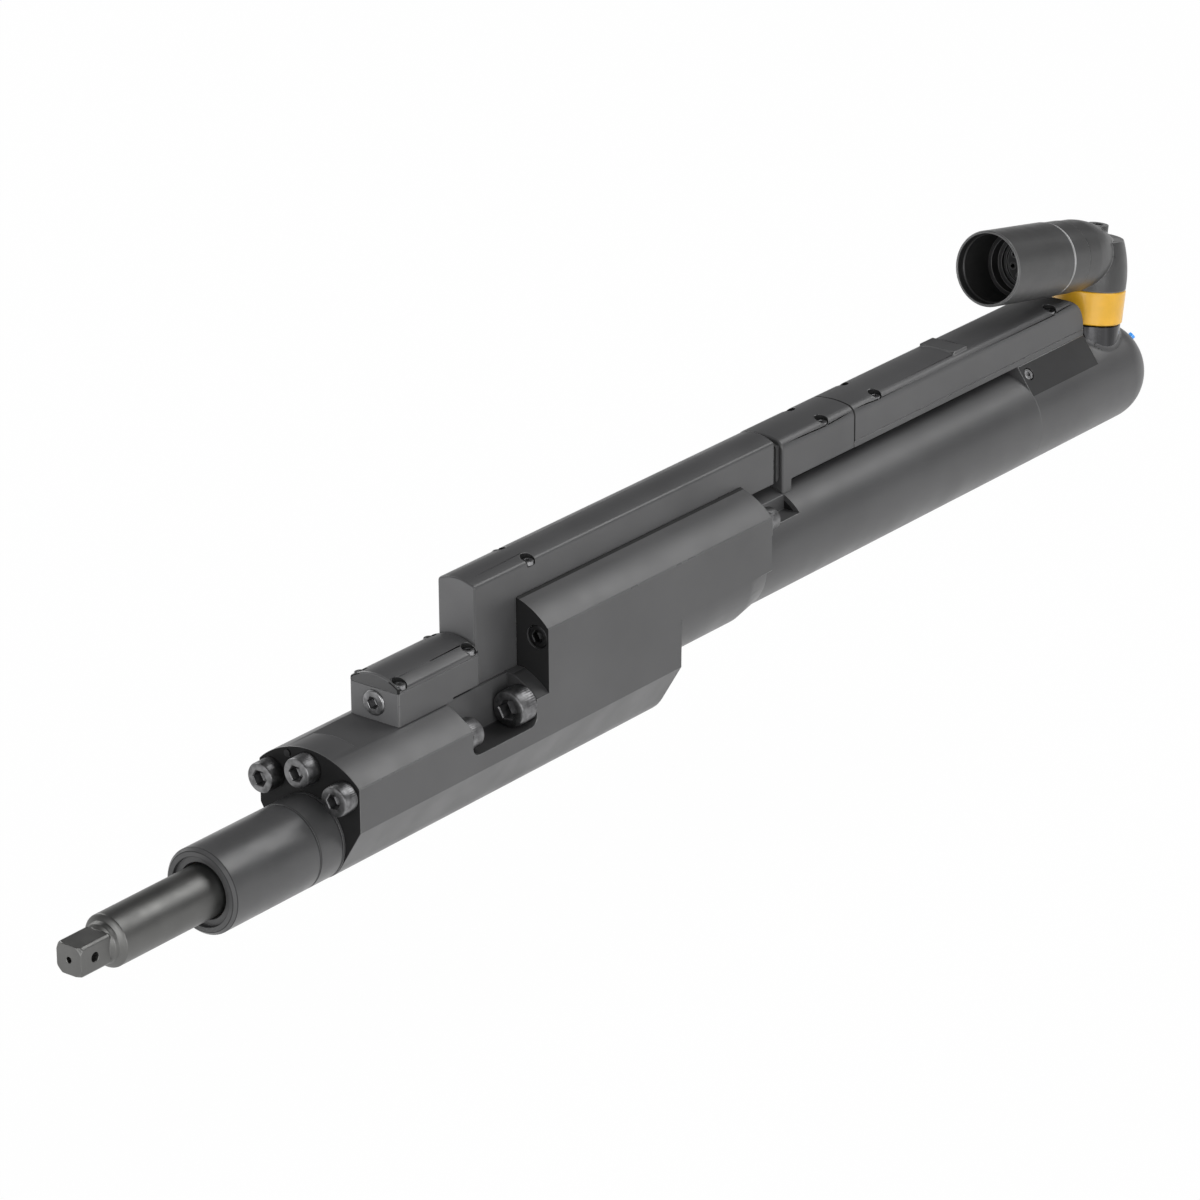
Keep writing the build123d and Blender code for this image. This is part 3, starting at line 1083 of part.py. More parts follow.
def add_screw_seats(shell, solid_form, places, seat_z):
    """Gives a thin cover a boss, a scallop and a hole for each of its small screws."""
    for x, y in places:
        boss_r = M3[0] + SCALLOP_GAP + BOSS_WALL
        height = 2 * (M3[1] + BOSS_DEPTH)
        shell += solid_form & (Pos(x, y, seat_z - BOSS_DEPTH + height / 2) * Cylinder(boss_r, height))
    for x, y in places:
        shell -= scallop(x, y, seat_z)
        shell -= Pos(x, y, seat_z) * Cylinder(M3[3], 2 * SMALL_SCREW_BORE)
    return shell


def make_board(x0, x1, half_width, z, y=0.0):
    """Circuit board with a row of parts."""
    solid = block(x0, x1, y - half_width, y + half_width, z, z + BOARD)
    length = x1 - x0
    for k in range(3):
        cx = x0 + length * (0.2 + 0.3 * k)
        solid += block(cx - BOARD_PART / 2, cx + BOARD_PART / 2, y - half_width / 2, y + half_width / 2,
                       z + BOARD, z + BOARD + BOARD_PART_HEIGHT)
    return solid


def front_edges(solid, x):
    """Upper edges of the front face at x."""
    return [e for e in solid.edges() if abs(e.center().X - x) < 0.01 and e.center().Z > COVER_SEAM_Z + 5]


def channel_screw_places():
    x = JOINT_X + CHANNEL_SCREW_IN
    return [(x, -CHANNEL_SCREW_Y), (x, CHANNEL_SCREW_Y)]


def make_channel():
    section = crowned(CHANNEL_HALF_WIDTH, CHANNEL_SEAT_Z, CHANNEL_EDGE_Z, CHANNEL_CROWN_Z, CHANNEL_CORNER_R)
    form = along_x(section, CHANNEL_FRONT, CHANNEL_REAR)
    form = fillet(front_edges(form, CHANNEL_FRONT), CHANNEL_FRONT_R)
    inner = crowned(CHANNEL_HALF_WIDTH, CHANNEL_INNER_Z, CHANNEL_EDGE_Z, CHANNEL_CROWN_Z, CHANNEL_CORNER_R,
                    CHANNEL_WALL)
    cavity = along_x(inner, CHANNEL_FRONT + CHANNEL_WALL, CHANNEL_REAR + 1)
    leg = CHANNEL_HALF_WIDTH - CHANNEL_WALL
    cavity += block(CHANNEL_FRONT + CHANNEL_WALL, JOINT_X - CHANNEL_WALL, -leg, leg,
                    CHANNEL_SEAT_Z - 1, CHANNEL_INNER_Z + 1)
    solid = form - cavity
    solid -= along_x(case_profile(), JOINT_X, MOTOR_FRONT)
    solid -= block(JOINT_X, CHANNEL_REAR + 1, -WIDE, WIDE, 0, CHANNEL_TAIL_Z)
    return add_screw_seats(solid, form, channel_screw_places(), CHANNEL_CROWN_Z - CHANNEL_SCREW_SINK)


def make_duct():
    """Rubber duct in the gap between the channel and the motor's cover, with a bright edge strip."""
    def section(bottom, inset):
        return crowned(CHANNEL_HALF_WIDTH, bottom, COVER_EDGE_Z, COVER_CROWN_Z, CHANNEL_CORNER_R, inset)

    strip = (CHANNEL_REAR + COVER_FRONT - STRIP_LENGTH) / 2
    solid = along_x(section(CHANNEL_TAIL_Z, DUCT_INSET), CHANNEL_REAR, COVER_FRONT)
    solid += along_x(section(CHANNEL_TAIL_Z, DUCT_INSET / 2), strip, strip + STRIP_LENGTH)
    hollow = section(CHANNEL_TAIL_Z + CHANNEL_WALL, DUCT_INSET + CHANNEL_WALL)
    return solid - along_x(hollow, CHANNEL_REAR - 1, COVER_FRONT + 1)


def cover_section(bottom, inset=0.0):
    """Section of the motor's cover, whose middle lies to one side of the tool's."""
    return Pos(COVER_Y, 0) * crowned(COVER_HALF_WIDTH, bottom, COVER_EDGE_Z, COVER_CROWN_Z, COVER_CORNER_R,
                                     inset)


def cover_screw_places(x0, x1):
    """Places of the cover's screws between x0 and x1."""
    xs = (COVER_FRONT + FRONT_SCREW_IN, COVER_SPLIT + SPLIT_SCREW_IN, COVER_REAR - REAR_SCREW_IN)
    return [(x, COVER_Y + side * COVER_SCREW_Y) for x in xs if x0 < x < x1 for side in (-1, 1)]


def make_cover_front():
    """Front piece of the motor's cover, with a foot that stands on the motor."""
    form = along_x(cover_section(AXIS_OFFSET), COVER_FRONT, COVER_SPLIT - COVER_GAP)
    form -= block(COVER_FRONT + COVER_FOOT, COVER_SPLIT + 1, -WIDE, WIDE, 0, COVER_BOTTOM_Z)
    form -= rod(COVER_FRONT - 1, COVER_SPLIT, MOTOR_R, z=AXIS_OFFSET)
    form = fillet(front_edges(form, COVER_FRONT), CHANNEL_FRONT_R)
    solid = form - along_x(cover_section(COVER_SEAM_Z, COVER_WALL), COVER_FRONT - 1, COVER_SPLIT + 1)
    return add_screw_seats(solid, form, cover_screw_places(COVER_FRONT, COVER_SPLIT),
                           COVER_CROWN_Z - COVER_SCREW_SINK)


def make_cover():
    """Long rear piece of the cover, with a flat pad across it and a rounded rear top edge."""
    form = along_x(cover_section(COVER_SEAM_Z), COVER_SPLIT, COVER_REAR) & cover_side(0)
    inner = along_x(cover_section(COVER_SEAM_Z - 1, COVER_WALL), COVER_SPLIT - 1, COVER_REAR - COVER_WALL)
    solid = form - (inner & cover_side(COVER_WALL))
    pad = COVER_SPLIT + PAD_IN
    solid += block(pad, pad + PAD_LENGTH, COVER_Y - PAD_HALF_WIDTH, COVER_Y + PAD_HALF_WIDTH,
                   COVER_CROWN_Z - COVER_WALL, COVER_CROWN_Z + PAD_PROUD)
    return add_screw_seats(solid, form, cover_screw_places(COVER_SPLIT, COVER_REAR),
                           COVER_CROWN_Z - COVER_SCREW_SINK)


def cover_side(inset):
    """The cover seen from the side: square front, rounded rear corner."""
    top = COVER_CROWN_Z - inset
    rear = COVER_REAR - inset
    r = COVER_REAR_R - inset
    arc = r * (1 - math.sqrt(0.5))
    front = COVER_SPLIT - 2
    foot = COVER_BOTTOM_Z - 5
    outline = make_face([Line((front, foot), (rear, foot)), Line((rear, foot), (rear, top - r)),
                         ThreePointArc((rear, top - r), (rear - arc, top - arc), (rear - r, top)),
                         Line((rear - r, top), (front, top)), Line((front, top), (front, foot))])
    return extrude(Plane.XZ * outline, amount=WIDE, both=True)


def make_cover_base():
    """Tray under the long cover, with two ribs that the drive board stands on."""
    w = COVER_HALF_WIDTH
    inner = w - COVER_WALL - 0.2
    solid = block(COVER_SPLIT, COVER_REAR, COVER_Y - w, COVER_Y + w, COVER_BOTTOM_Z, COVER_SEAM_Z)
    for x in (BOARD_FRONT + RIB_IN, BOARD_REAR - RIB_IN - RIB):
        solid += block(x, x + RIB, COVER_Y - inner, COVER_Y + inner, COVER_SEAM_Z, BOARD_Z)
    return solid


def make_rail():
    """Narrow rail on the motor tube that carries the cover."""
    solid = block(COVER_FRONT + COVER_FOOT, REAR_X, -RAIL_HALF_WIDTH, RAIL_HALF_WIDTH,
                  AXIS_OFFSET, COVER_BOTTOM_Z)
    return solid - rod(COVER_FRONT, REAR_X + 1, MOTOR_R, z=AXIS_OFFSET)


def make_output_gear():
    outline = gear_outline(OUTPUT_TEETH, GEAR_MODULE, 1.0, 1.25, GEAR_BACKLASH, 90)
    teeth = along_x(outline, GEAR_X, GEAR_X + GEAR_WIDTH)
    for x in (GEAR_X, GEAR_X + GEAR_WIDTH):
        teeth -= ring(x - GEAR_DISH, x + GEAR_DISH, GEAR_DISH_R, SHAFT_R + 2)
    return teeth - rod(GEAR_X - 1, GEAR_X + GEAR_WIDTH + 1, SHAFT_R)


def circlip_places():
    return (GEAR_X - CIRCLIP, GEAR_X + GEAR_WIDTH)


def main():
    spindle, spring_front = make_spindle()
    shaft = make_drive_shaft()
    for x in circlip_places():
        shaft -= ring(x, x + CIRCLIP, SHAFT_R + 1, SHAFT_R - CIRCLIP_DEPTH)
    keep("spindle", spindle)
    keep("drive_shaft", shaft)
    keep("output_gear", make_output_gear())
    keep("gear_circlips", *[ring(x, x + CIRCLIP, SHAFT_R + 1.4, SHAFT_R - CIRCLIP_DEPTH)
                            for x in circlip_places()])
    keep("return_spring", make_spring(spring_front, SPLINE_FRONT))

    keep("front_housing", make_front_housing())
    keep("guide_sleeve", make_sleeve())
    bush_front = -SLEEVE_REACH + BUSH_RECESS
    bore = SPINDLE_R + RUN_CLEARANCE
    keep("spindle_bushes", ring(bush_front + SEAL_WIDTH, -SLEEVE_REACH + BUSH_LENGTH, BUSH_R, bore),
         ring(SLEEVE_SPIGOT - BUSH_LENGTH, SLEEVE_SPIGOT, SLEEVE_BORE_R, bore))
    keep("wiper_seal", turned([(bush_front, BUSH_R), (bush_front, bore + SEAL_WALL),
                               (bush_front + SEAL_WIDTH, bore + 0.1), (bush_front + SEAL_WIDTH, BUSH_R)]))
    keep("flange_screws", *[Pos(0, y, z) * cap_screw(M8, FLANGE_SCREW_LENGTH)
                            for y, z in flange_screw_places()])
    keep("rear_flange_screws", *[Pos(HEAD_LENGTH, y, z) * cap_screw(M8, REAR_FLANGE_SCREW_LENGTH, -1)
                                 for y, z in flange_screw_places()[::2]])
    keep("housing_screws", *[Pos(HEAD_LENGTH + POCKET_LENGTH, side * POCKET_SCREW_Y, POCKET_SCREW_Z)
                             * cap_screw(M10, POCKET_SCREW_LENGTH) for side in (-1, 1)])
    keep("dowel_pin", rod(-DOWEL_PROUD, DOWEL_LENGTH, DOWEL_R, DOWEL_Y, DOWEL_Z))

    keep("gear_case", make_gear_case())
    keep("case_screws", *[Pos(JOINT_X + CASE_SCREW_SUNK, side * CASE_SCREW_Y, CASE_SCREW_Z)
                          * cap_screw(M6, CASE_SCREW_LENGTH) for side in (-1, 1)])
    keep("bore_cap", make_cap())
    outer = LOWER_BORE_R
    keep("output_bearings", *[s for x in (FRONT_BEARING_X, MIDDLE_BEARING_X, REAR_BEARING_X)
                              for s in bearing(x, SHAFT_R + RUN_CLEARANCE, outer)])
    keep("pinion_bearings", *[s for x in (PINION_FRONT_BEARING_X, PINION_REAR_BEARING_X)
                              for s in bearing(x, PINION_SHAFT_R + RUN_CLEARANCE, PINION_BORE_R,
                                               AXIS_OFFSET)])
    keep("pinion", make_pinion())
    keep("planet_pins", *make_pins())
    for number, wheel in enumerate(make_planets(), 1):
        keep(f"planet_gear_{number}", wheel)
    keep("ring_gear", make_ring_gear())

    keep("torque_coil", ring(COIL_X, COIL_X + COIL_LENGTH, outer, COIL_BORE_R))
    keep("transducer_block", make_block())
    keep("block_lid", make_lid())
    keep("lid_screws", *[small_screw(x, y, LID_EDGE_Z - LID_SEAT, SMALL_SCREW_LENGTH)
                         for x, y in lid_screw_places()])
    keep("block_plug", make_plug())
    inside = 2 * BLOCK_WALL + 1
    keep("signal_board", make_board(BLOCK_FRONT + inside, BLOCK_FRONT + BLOCK_LENGTH - inside,
                                    BLOCK_HALF_WIDTH - BLOCK_WALL - BOARD_GAP,
                                    TOP_FLAT_Z + BLOCK_WALL + BLOCK_STEP))

    keep("cable_channel", make_channel())
    keep("channel_duct", make_duct())

    keep("motor_flange", make_motor_flange())
    keep("motor_screws", *[Pos(MOTOR_FRONT + EAR, side * MOTOR_SCREW_Y, MOTOR_SCREW_Z)
                           * cap_screw(M6, MOTOR_SCREW_LENGTH, -1) for side in (-1, 1)])
    keep("motor_tube", make_motor_tube())
    keep("stator", make_stator())
    keep("windings", make_windings())
    keep("rotor", make_rotor())
    keep("rotor_magnets", *make_magnets())
    keep("motor_bearings", *[s for x in (MOTOR_BEARING_FRONT_X, MOTOR_BEARING_REAR_X)
                             for s in bearing(x, ROTOR_SHAFT_R + RUN_CLEARANCE, MOTOR_BEARING_R,
                                              AXIS_OFFSET)])
    keep("end_shield", make_end_shield())
    resolver_end = RESOLVER_X + RESOLVER_LENGTH
    keep("resolver", ring(RESOLVER_X, resolver_end, RESOLVER_R, RESOLVER_BORE_R, z=AXIS_OFFSET))
    keep("resolver_rotor", ring(RESOLVER_X + 1.5, resolver_end - 1.5, RESOLVER_BORE_R - SHAFT_GAP,
                                ROTOR_SHAFT_R, z=AXIS_OFFSET))

    keep("cover_rail", make_rail())
    keep("cover_base", make_cover_base())
    keep("cover_front", make_cover_front())
    keep("motor_cover", make_cover())
    keep("cover_screws",
         *[small_screw(x, y, CHANNEL_CROWN_Z - CHANNEL_SCREW_SINK, SMALL_SCREW_LENGTH)
           for x, y in channel_screw_places()],
         *[small_screw(x, y, COVER_CROWN_Z - COVER_SCREW_SINK, SMALL_SCREW_LENGTH)
           for x, y in cover_screw_places(COVER_FRONT, COVER_REAR)])
    keep("drive_board", make_board(BOARD_FRONT, BOARD_REAR, COVER_HALF_WIDTH - COVER_WALL - BOARD_GAP,
                                   BOARD_Z, COVER_Y))

    keep("rear_housing", make_rear_housing())
    rear_screw = Pos(0, 0, -FACET_SCREW_SUNK) * Rot(0, 90, 0) * cap_screw(M3, FACET_SCREW_LENGTH)
    keep("rear_screws", *[facet_place(side) * rear_screw for side in (-1, 1)])
    lens = Pos(0, 0, (LENS_PROUD - LENS_DEPTH) / 2) * Cylinder(LENS_R, LENS_PROUD + LENS_DEPTH)
    keep("status_lens", lens_place() * lens)
    keep("connector_neck", make_neck(rear_housing_skin()))
    keep("colour_band", make_band())
    keep("connector_elbow", make_elbow())
    keep("coupling_ring", make_coupling())
    keep("connector_barrel", make_barrel())
    keep("insert_ring", make_insert_ring())
    keep("contact_insert", make_insert())
    keep("contact_sockets", *make_contacts())

    for name, solids in NODES.items():
        shape = solids[0] if len(solids) == 1 else Compound(children=solids)
        export_step(shape, f"parts/{name}.step")


if __name__ == "__main__":
    main()
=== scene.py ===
"""Fixtured nutrunner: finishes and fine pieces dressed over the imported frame, with its stage and camera."""
import json
import math

import bmesh
import bpy
from mathutils import Matrix, Vector
from mathutils.bvhtree import BVHTree

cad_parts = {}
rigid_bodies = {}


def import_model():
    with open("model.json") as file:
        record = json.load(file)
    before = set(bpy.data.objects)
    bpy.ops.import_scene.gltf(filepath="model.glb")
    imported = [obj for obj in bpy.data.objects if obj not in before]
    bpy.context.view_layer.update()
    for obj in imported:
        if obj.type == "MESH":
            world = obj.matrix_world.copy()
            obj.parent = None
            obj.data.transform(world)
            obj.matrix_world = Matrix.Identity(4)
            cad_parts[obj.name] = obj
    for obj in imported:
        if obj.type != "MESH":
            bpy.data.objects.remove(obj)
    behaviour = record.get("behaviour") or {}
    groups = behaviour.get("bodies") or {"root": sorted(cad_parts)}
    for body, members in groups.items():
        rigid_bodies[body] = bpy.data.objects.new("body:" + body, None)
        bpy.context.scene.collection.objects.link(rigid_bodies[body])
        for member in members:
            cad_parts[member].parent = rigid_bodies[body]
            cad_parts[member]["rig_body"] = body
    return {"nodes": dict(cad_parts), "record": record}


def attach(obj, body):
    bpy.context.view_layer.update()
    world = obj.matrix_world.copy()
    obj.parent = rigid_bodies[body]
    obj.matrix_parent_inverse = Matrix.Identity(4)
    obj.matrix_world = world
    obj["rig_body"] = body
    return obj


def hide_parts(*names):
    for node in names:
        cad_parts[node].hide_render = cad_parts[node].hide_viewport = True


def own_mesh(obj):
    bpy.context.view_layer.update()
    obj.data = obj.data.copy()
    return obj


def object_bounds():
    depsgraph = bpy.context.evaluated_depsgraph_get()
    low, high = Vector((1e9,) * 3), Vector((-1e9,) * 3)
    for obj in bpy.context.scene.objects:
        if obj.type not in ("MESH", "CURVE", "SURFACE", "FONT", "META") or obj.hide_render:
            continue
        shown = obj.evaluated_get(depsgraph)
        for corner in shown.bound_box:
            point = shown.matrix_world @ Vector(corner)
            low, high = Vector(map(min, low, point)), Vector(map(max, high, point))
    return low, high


bl_info = {
    "name": "Fixtured nutrunner",
    "version": (1, 0, 0),
    "blender": (4, 5, 0),
    "location": "View3D > Sidebar > Nutrunner",
    "description": "Dresses the nutrunner's frame with its machined pieces, screws, connector and finishes",
    "category": "Object",
}

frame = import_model()
CAD_BOX = [list(corner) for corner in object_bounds()]
MM = 0.001


# Sizes and colours

class NutrunnerSizes(bpy.types.PropertyGroup):
    edge_break: bpy.props.FloatProperty(
        name="Edge break", description="Width of the broken edges on the machined bodies",
        default=0.00035, min=0.0, max=0.002, precision=5, unit="LENGTH")
    turned_edge: bpy.props.FloatProperty(
        name="Turned edge", description="Width of the broken edges on turned pieces",
        default=0.00025, min=0.0, max=0.002, precision=5, unit="LENGTH")
    smooth_angle: bpy.props.FloatProperty(
        name="Smooth angle", description="Faces that meet at less than this angle shade as one",
        default=math.radians(24), min=0.0, max=math.pi, subtype="ANGLE")
    knurls: bpy.props.IntProperty(
        name="Knurls", description="Ridges round the head of a cap screw", default=54, min=12, max=120)
    key_depth: bpy.props.FloatProperty(
        name="Key depth", description="Depth of a hexagon socket as a share of the head's height",
        default=0.55, min=0.2, max=0.9, subtype="FACTOR")
    winding_wire: bpy.props.FloatProperty(
        name="Winding wire", description="Thickness of the wires that show on the end turns",
        default=0.0006, min=0.0002, max=0.002, precision=5, unit="LENGTH")
    floor_drop: bpy.props.FloatProperty(
        name="Floor drop", description="Height of the tool's underside above the studio floor",
        default=0.12, min=0.0, max=1.0, unit="LENGTH")
    lens: bpy.props.FloatProperty(
        name="Lens", description="Focal length of the camera in millimetres on a 36 mm sensor",
        default=176.0, min=20.0, max=400.0)


class NutrunnerColours(bpy.types.PropertyGroup):
    anodised: bpy.props.FloatVectorProperty(
        name="Anodised bodies", description="Satin black of the machined bodies",
        subtype="COLOR", default=(0.066, 0.066, 0.067), min=0.0, max=1.0)
    # Lighter broken edges: partly wear, partly a painted highlight along the edges
    anodised_edge_wear_and_highlight: bpy.props.FloatVectorProperty(
        name="Anodised edges", description="Slightly worn edges of the machined bodies",
        subtype="COLOR", default=(0.13, 0.13, 0.131), min=0.0, max=1.0)
    spindle: bpy.props.FloatVectorProperty(
        name="Spindle steel", description="Burnished dark steel of the square drive",
        subtype="COLOR", default=(0.155, 0.155, 0.151), min=0.0, max=1.0)
    screw: bpy.props.FloatVectorProperty(
        name="Screws", description="Blackened steel of the cap screws",
        subtype="COLOR", default=(0.17, 0.17, 0.173), min=0.0, max=1.0)
    bright: bpy.props.FloatVectorProperty(
        name="Ground steel", description="Shafts, gears and bearing rings",
        subtype="COLOR", default=(0.50, 0.50, 0.49), min=0.0, max=1.0)
    band: bpy.props.FloatVectorProperty(
        name="Band", description="Yellow band under the connector's elbow",
        subtype="COLOR", default=(0.78, 0.42, 0.025), min=0.0, max=1.0)
    neck: bpy.props.FloatVectorProperty(
        name="Neck", description="Plain grey metal of the connector's neck",
        subtype="COLOR", default=(0.055, 0.055, 0.057), min=0.0, max=1.0)
    lens_blue: bpy.props.FloatVectorProperty(
        name="Status lens", description="Blue of the status lens",
        subtype="COLOR", default=(0.03, 0.30, 0.85), min=0.0, max=1.0)
    copper: bpy.props.FloatVectorProperty(
        name="Windings", description="Enamelled copper wire",
        subtype="COLOR", default=(0.55, 0.20, 0.07), min=0.0, max=1.0)
    floor: bpy.props.FloatVectorProperty(
        name="Floor", description="Pale studio floor",
        subtype="COLOR", default=(0.86, 0.86, 0.86), min=0.0, max=1.0)


def sizes():
    return bpy.context.scene.nutrunner_sizes


def colours():
    return bpy.context.scene.nutrunner_colours


# Finishes

class Finish:
    """A material built node by node; it is filed by name and made once."""

    made = {}

    def __init__(self, name):
        self.material = bpy.data.materials.new(name)
        self.material.use_nodes = True
        self.tree = self.material.node_tree
        self.tree.nodes.clear()
        self.out = self.tree.nodes.new("ShaderNodeOutputMaterial")
        self.shader = self.tree.nodes.new("ShaderNodeBsdfPrincipled")
        self.join(self.shader.outputs["BSDF"], self.out.inputs["Surface"])
        self.coords = self.tree.nodes.new("ShaderNodeTexCoord").outputs["Object"]
        self.normal = None
        Finish.made[name] = self.material

    def join(self, source, target):
        self.tree.links.new(source, target)

    def set(self, **values):
        for key, value in values.items():
            self.shader.inputs[key.replace("_", " ")].default_value = value
        return self

    def stretched(self, scale):
        """Object coordinates scaled by axis, so that a pattern can run in lines."""
        mapping = self.tree.nodes.new("ShaderNodeMapping")
        mapping.inputs["Scale"].default_value = scale
        self.join(self.coords, mapping.inputs["Vector"])
        return mapping.outputs["Vector"]

    def noise(self, scale, detail=2.0, roughness=0.5, coords=None):
        node = self.tree.nodes.new("ShaderNodeTexNoise")
        node.inputs["Scale"].default_value = scale
        node.inputs["Detail"].default_value = detail
        node.inputs["Roughness"].default_value = roughness
        self.join(coords or self.coords, node.inputs["Vector"])
        return node.outputs["Fac"]

    def cells(self, scale):
        node = self.tree.nodes.new("ShaderNodeTexVoronoi")
        node.inputs["Scale"].default_value = scale
        self.join(self.coords, node.inputs["Vector"])
        return node.outputs["Distance"]

    def waves(self, scale, direction, distortion=0.0, coords=None):
        node = self.tree.nodes.new("ShaderNodeTexWave")
        node.bands_direction = direction
        node.inputs["Scale"].default_value = scale
        node.inputs["Distortion"].default_value = distortion
        node.inputs["Detail Scale"].default_value = 2.0
        self.join(coords or self.coords, node.inputs["Vector"])
        return node.outputs["Fac"]

    def between(self, value, low, high, start=0.3, end=0.7):
        """Value stretched from start..end onto low..high."""
        node = self.tree.nodes.new("ShaderNodeMapRange")
        node.inputs["From Min"].default_value = start
        node.inputs["From Max"].default_value = end
        node.inputs["To Min"].default_value = low
        node.inputs["To Max"].default_value = high
        self.join(value, node.inputs["Value"])
        return node.outputs["Result"]

    def tint(self, value, low, high, start=0.3, end=0.7):
        """Colour that runs from low to high with the value."""
        node = self.tree.nodes.new("ShaderNodeValToRGB")
        node.color_ramp.elements[0].position = start
        node.color_ramp.elements[1].position = end
        node.color_ramp.elements[0].color = (*low, 1.0)
        node.color_ramp.elements[1].color = (*high, 1.0)
        self.join(value, node.inputs["Fac"])
        self.join(node.outputs["Color"], self.shader.inputs["Base Color"])
        return self

    def gloss(self, value, low, high, start=0.3, end=0.7):
        self.join(self.between(value, low, high, start, end), self.shader.inputs["Roughness"])
        return self

    def relief(self, value, depth, strength=1.0):
        """Adds height to the surface; depth is in metres."""
        node = self.tree.nodes.new("ShaderNodeBump")
        node.inputs["Strength"].default_value = strength
        node.inputs["Distance"].default_value = depth
        self.join(value, node.inputs["Height"])
        if self.normal:
            self.join(self.normal, node.inputs["Normal"])
        self.normal = node.outputs["Normal"]
        self.join(self.normal, self.shader.inputs["Normal"])
        return self


def shade(colour, factor):
    return tuple(min(1.0, channel * factor) for channel in colour)


def wave_scale(pitch):
    """Scale of a wave texture for that pitch in metres; its bands lie about two pitches apart."""
    return 1.0 / pitch / 6.2832


def anodised(name="anodised_body", colour=None, metallic=0.0, rough=(0.34, 0.42), specular=0.5):
    """Blasted and anodised aluminium: an even satin black with a faint cloud and fine grain."""
    colour = tuple(colour or colours().anodised)
    f = Finish(name)
    cloud = f.noise(22.0, 3.0)
    grain = f.noise(2600.0, 2.0, 0.6)
    f.tint(cloud, shade(colour, 0.90), shade(colour, 1.12))
    f.gloss(f.noise(60.0, 2.0), rough[0], rough[1])
    f.relief(grain, 0.00002, 0.35)
    return f.set(Metallic=metallic, IOR=1.52, Specular_IOR_Level=specular).material


def turned_metal(name, colour, rough, pitch, depth, metallic=1.0):
    """Turned metal: fine tool marks round the axis, and a slightly uneven burnish."""
    f = Finish(name)
    marks = f.waves(wave_scale(pitch), "X", 0.4)
    f.tint(f.noise(18.0, 4.0, 0.6), shade(colour, 0.82), shade(colour, 1.15))
    f.gloss(f.noise(90.0, 3.0), rough - 0.05, rough + 0.06)
    f.relief(marks, depth, 0.6)
    f.relief(f.noise(1500.0, 2.0), 0.000015, 0.3)
    return f.set(Metallic=metallic).material


def blackened(name="blackened_screw", colour=None, rough=0.36):
    """Oiled black oxide on steel, a little uneven."""
    colour = tuple(colour or colours().screw)
    f = Finish(name)
    f.tint(f.noise(420.0, 3.0), shade(colour, 0.7), shade(colour, 1.4))
    f.gloss(f.noise(300.0, 2.0), rough - 0.06, rough + 0.10)
    f.relief(f.noise(3000.0, 2.0), 0.00002, 0.4)
    return f.set(Metallic=1.0).material


def ground_steel():
    c = tuple(colours().bright)
    f = Finish("ground_steel")
    lines = f.noise(900.0, 2.0, 0.6, f.stretched((0.06, 1.0, 1.0)))
    f.tint(f.noise(30.0, 3.0), shade(c, 0.85), shade(c, 1.08))
    f.gloss(lines, 0.20, 0.34)
    f.relief(lines, 0.00001, 0.5)
    return f.set(Metallic=1.0).material


def bearing_bronze():
    f = Finish("bearing_bronze")
    pores = f.cells(2200.0)
    f.tint(pores, (0.30, 0.19, 0.07), (0.50, 0.34, 0.14), 0.05, 0.4)
    f.gloss(f.noise(300.0), 0.35, 0.50)
    f.relief(pores, 0.00003, 0.5)
    return f.set(Metallic=1.0).material


def black_rubber():
    f = Finish("black_rubber")
    f.tint(f.noise(120.0, 3.0), (0.010, 0.010, 0.010), (0.022, 0.022, 0.022))
    f.gloss(f.noise(400.0), 0.55, 0.72)
    f.relief(f.noise(2200.0, 3.0), 0.00004, 0.5)
    return f.material


def copper_wire():
    c = tuple(colours().copper)
    f = Finish("copper_winding")
    strands = f.waves(wave_scale(sizes().winding_wire), "DIAGONAL", 1.2)
    f.tint(strands, shade(c, 0.55), shade(c, 1.15), 0.1, 0.8)
    f.gloss(f.noise(500.0), 0.22, 0.36)
    f.relief(strands, 0.00015, 0.8)
    return f.set(Metallic=0.85, Coat_Weight=0.4, Coat_Roughness=0.2).material


def circuit_board():
    f = Finish("circuit_board")
    tracks = f.waves(260.0, "X", 6.0, f.stretched((1.0, 2.4, 1.0)))
    f.tint(tracks, (0.010, 0.055, 0.020), (0.028, 0.125, 0.045), 0.45, 0.55)
    f.gloss(f.noise(200.0), 0.25, 0.38)
    f.relief(tracks, 0.00005, 0.5)
    return f.set(Coat_Weight=0.5, Coat_Roughness=0.15).material


def magnet_plate():
    f = Finish("magnet_plate")
    f.tint(f.noise(80.0, 3.0), (0.30, 0.30, 0.31), (0.42, 0.42, 0.43))
    f.gloss(f.noise(300.0), 0.22, 0.32)
    f.relief(f.noise(1800.0), 0.00001, 0.4)
    return f.set(Metallic=1.0).material


def laminated_steel():
    f = Finish("laminated_steel")
    sheets = f.waves(wave_scale(0.0005), "X")
    f.tint(sheets, (0.12, 0.12, 0.13), (0.28, 0.28, 0.29), 0.1, 0.7)
    f.gloss(f.noise(300.0), 0.35, 0.5)
    f.relief(sheets, 0.00008, 0.7)
    return f.set(Metallic=1.0).material


def moulded_yellow():
    c = tuple(colours().band)
    f = Finish("moulded_yellow")
    f.tint(f.noise(140.0, 3.0), shade(c, 0.93), shade(c, 1.06))
    f.gloss(f.noise(260.0, 2.0), 0.30, 0.40)
    f.relief(f.noise(2400.0, 2.0), 0.000015, 0.35)
    return f.set(IOR=1.48, Coat_Weight=0.25, Coat_Roughness=0.18).material


def neck_metal():
    c = tuple(colours().neck)
    f = Finish("plain_neck")
    # Vertical streaks of painted reflection, lighter and darker along the neck
    painted_reflection_streaks = f.noise(260.0, 2.0, 0.6, f.stretched((1.0, 1.0, 0.05)))
    f.tint(painted_reflection_streaks, shade(c, 0.55), shade(c, 1.5))
    f.gloss(f.noise(1400.0, 2.0, 0.6, f.stretched((0.08, 0.08, 1.0))), 0.16, 0.26)
    return f.set(Metallic=1.0).material


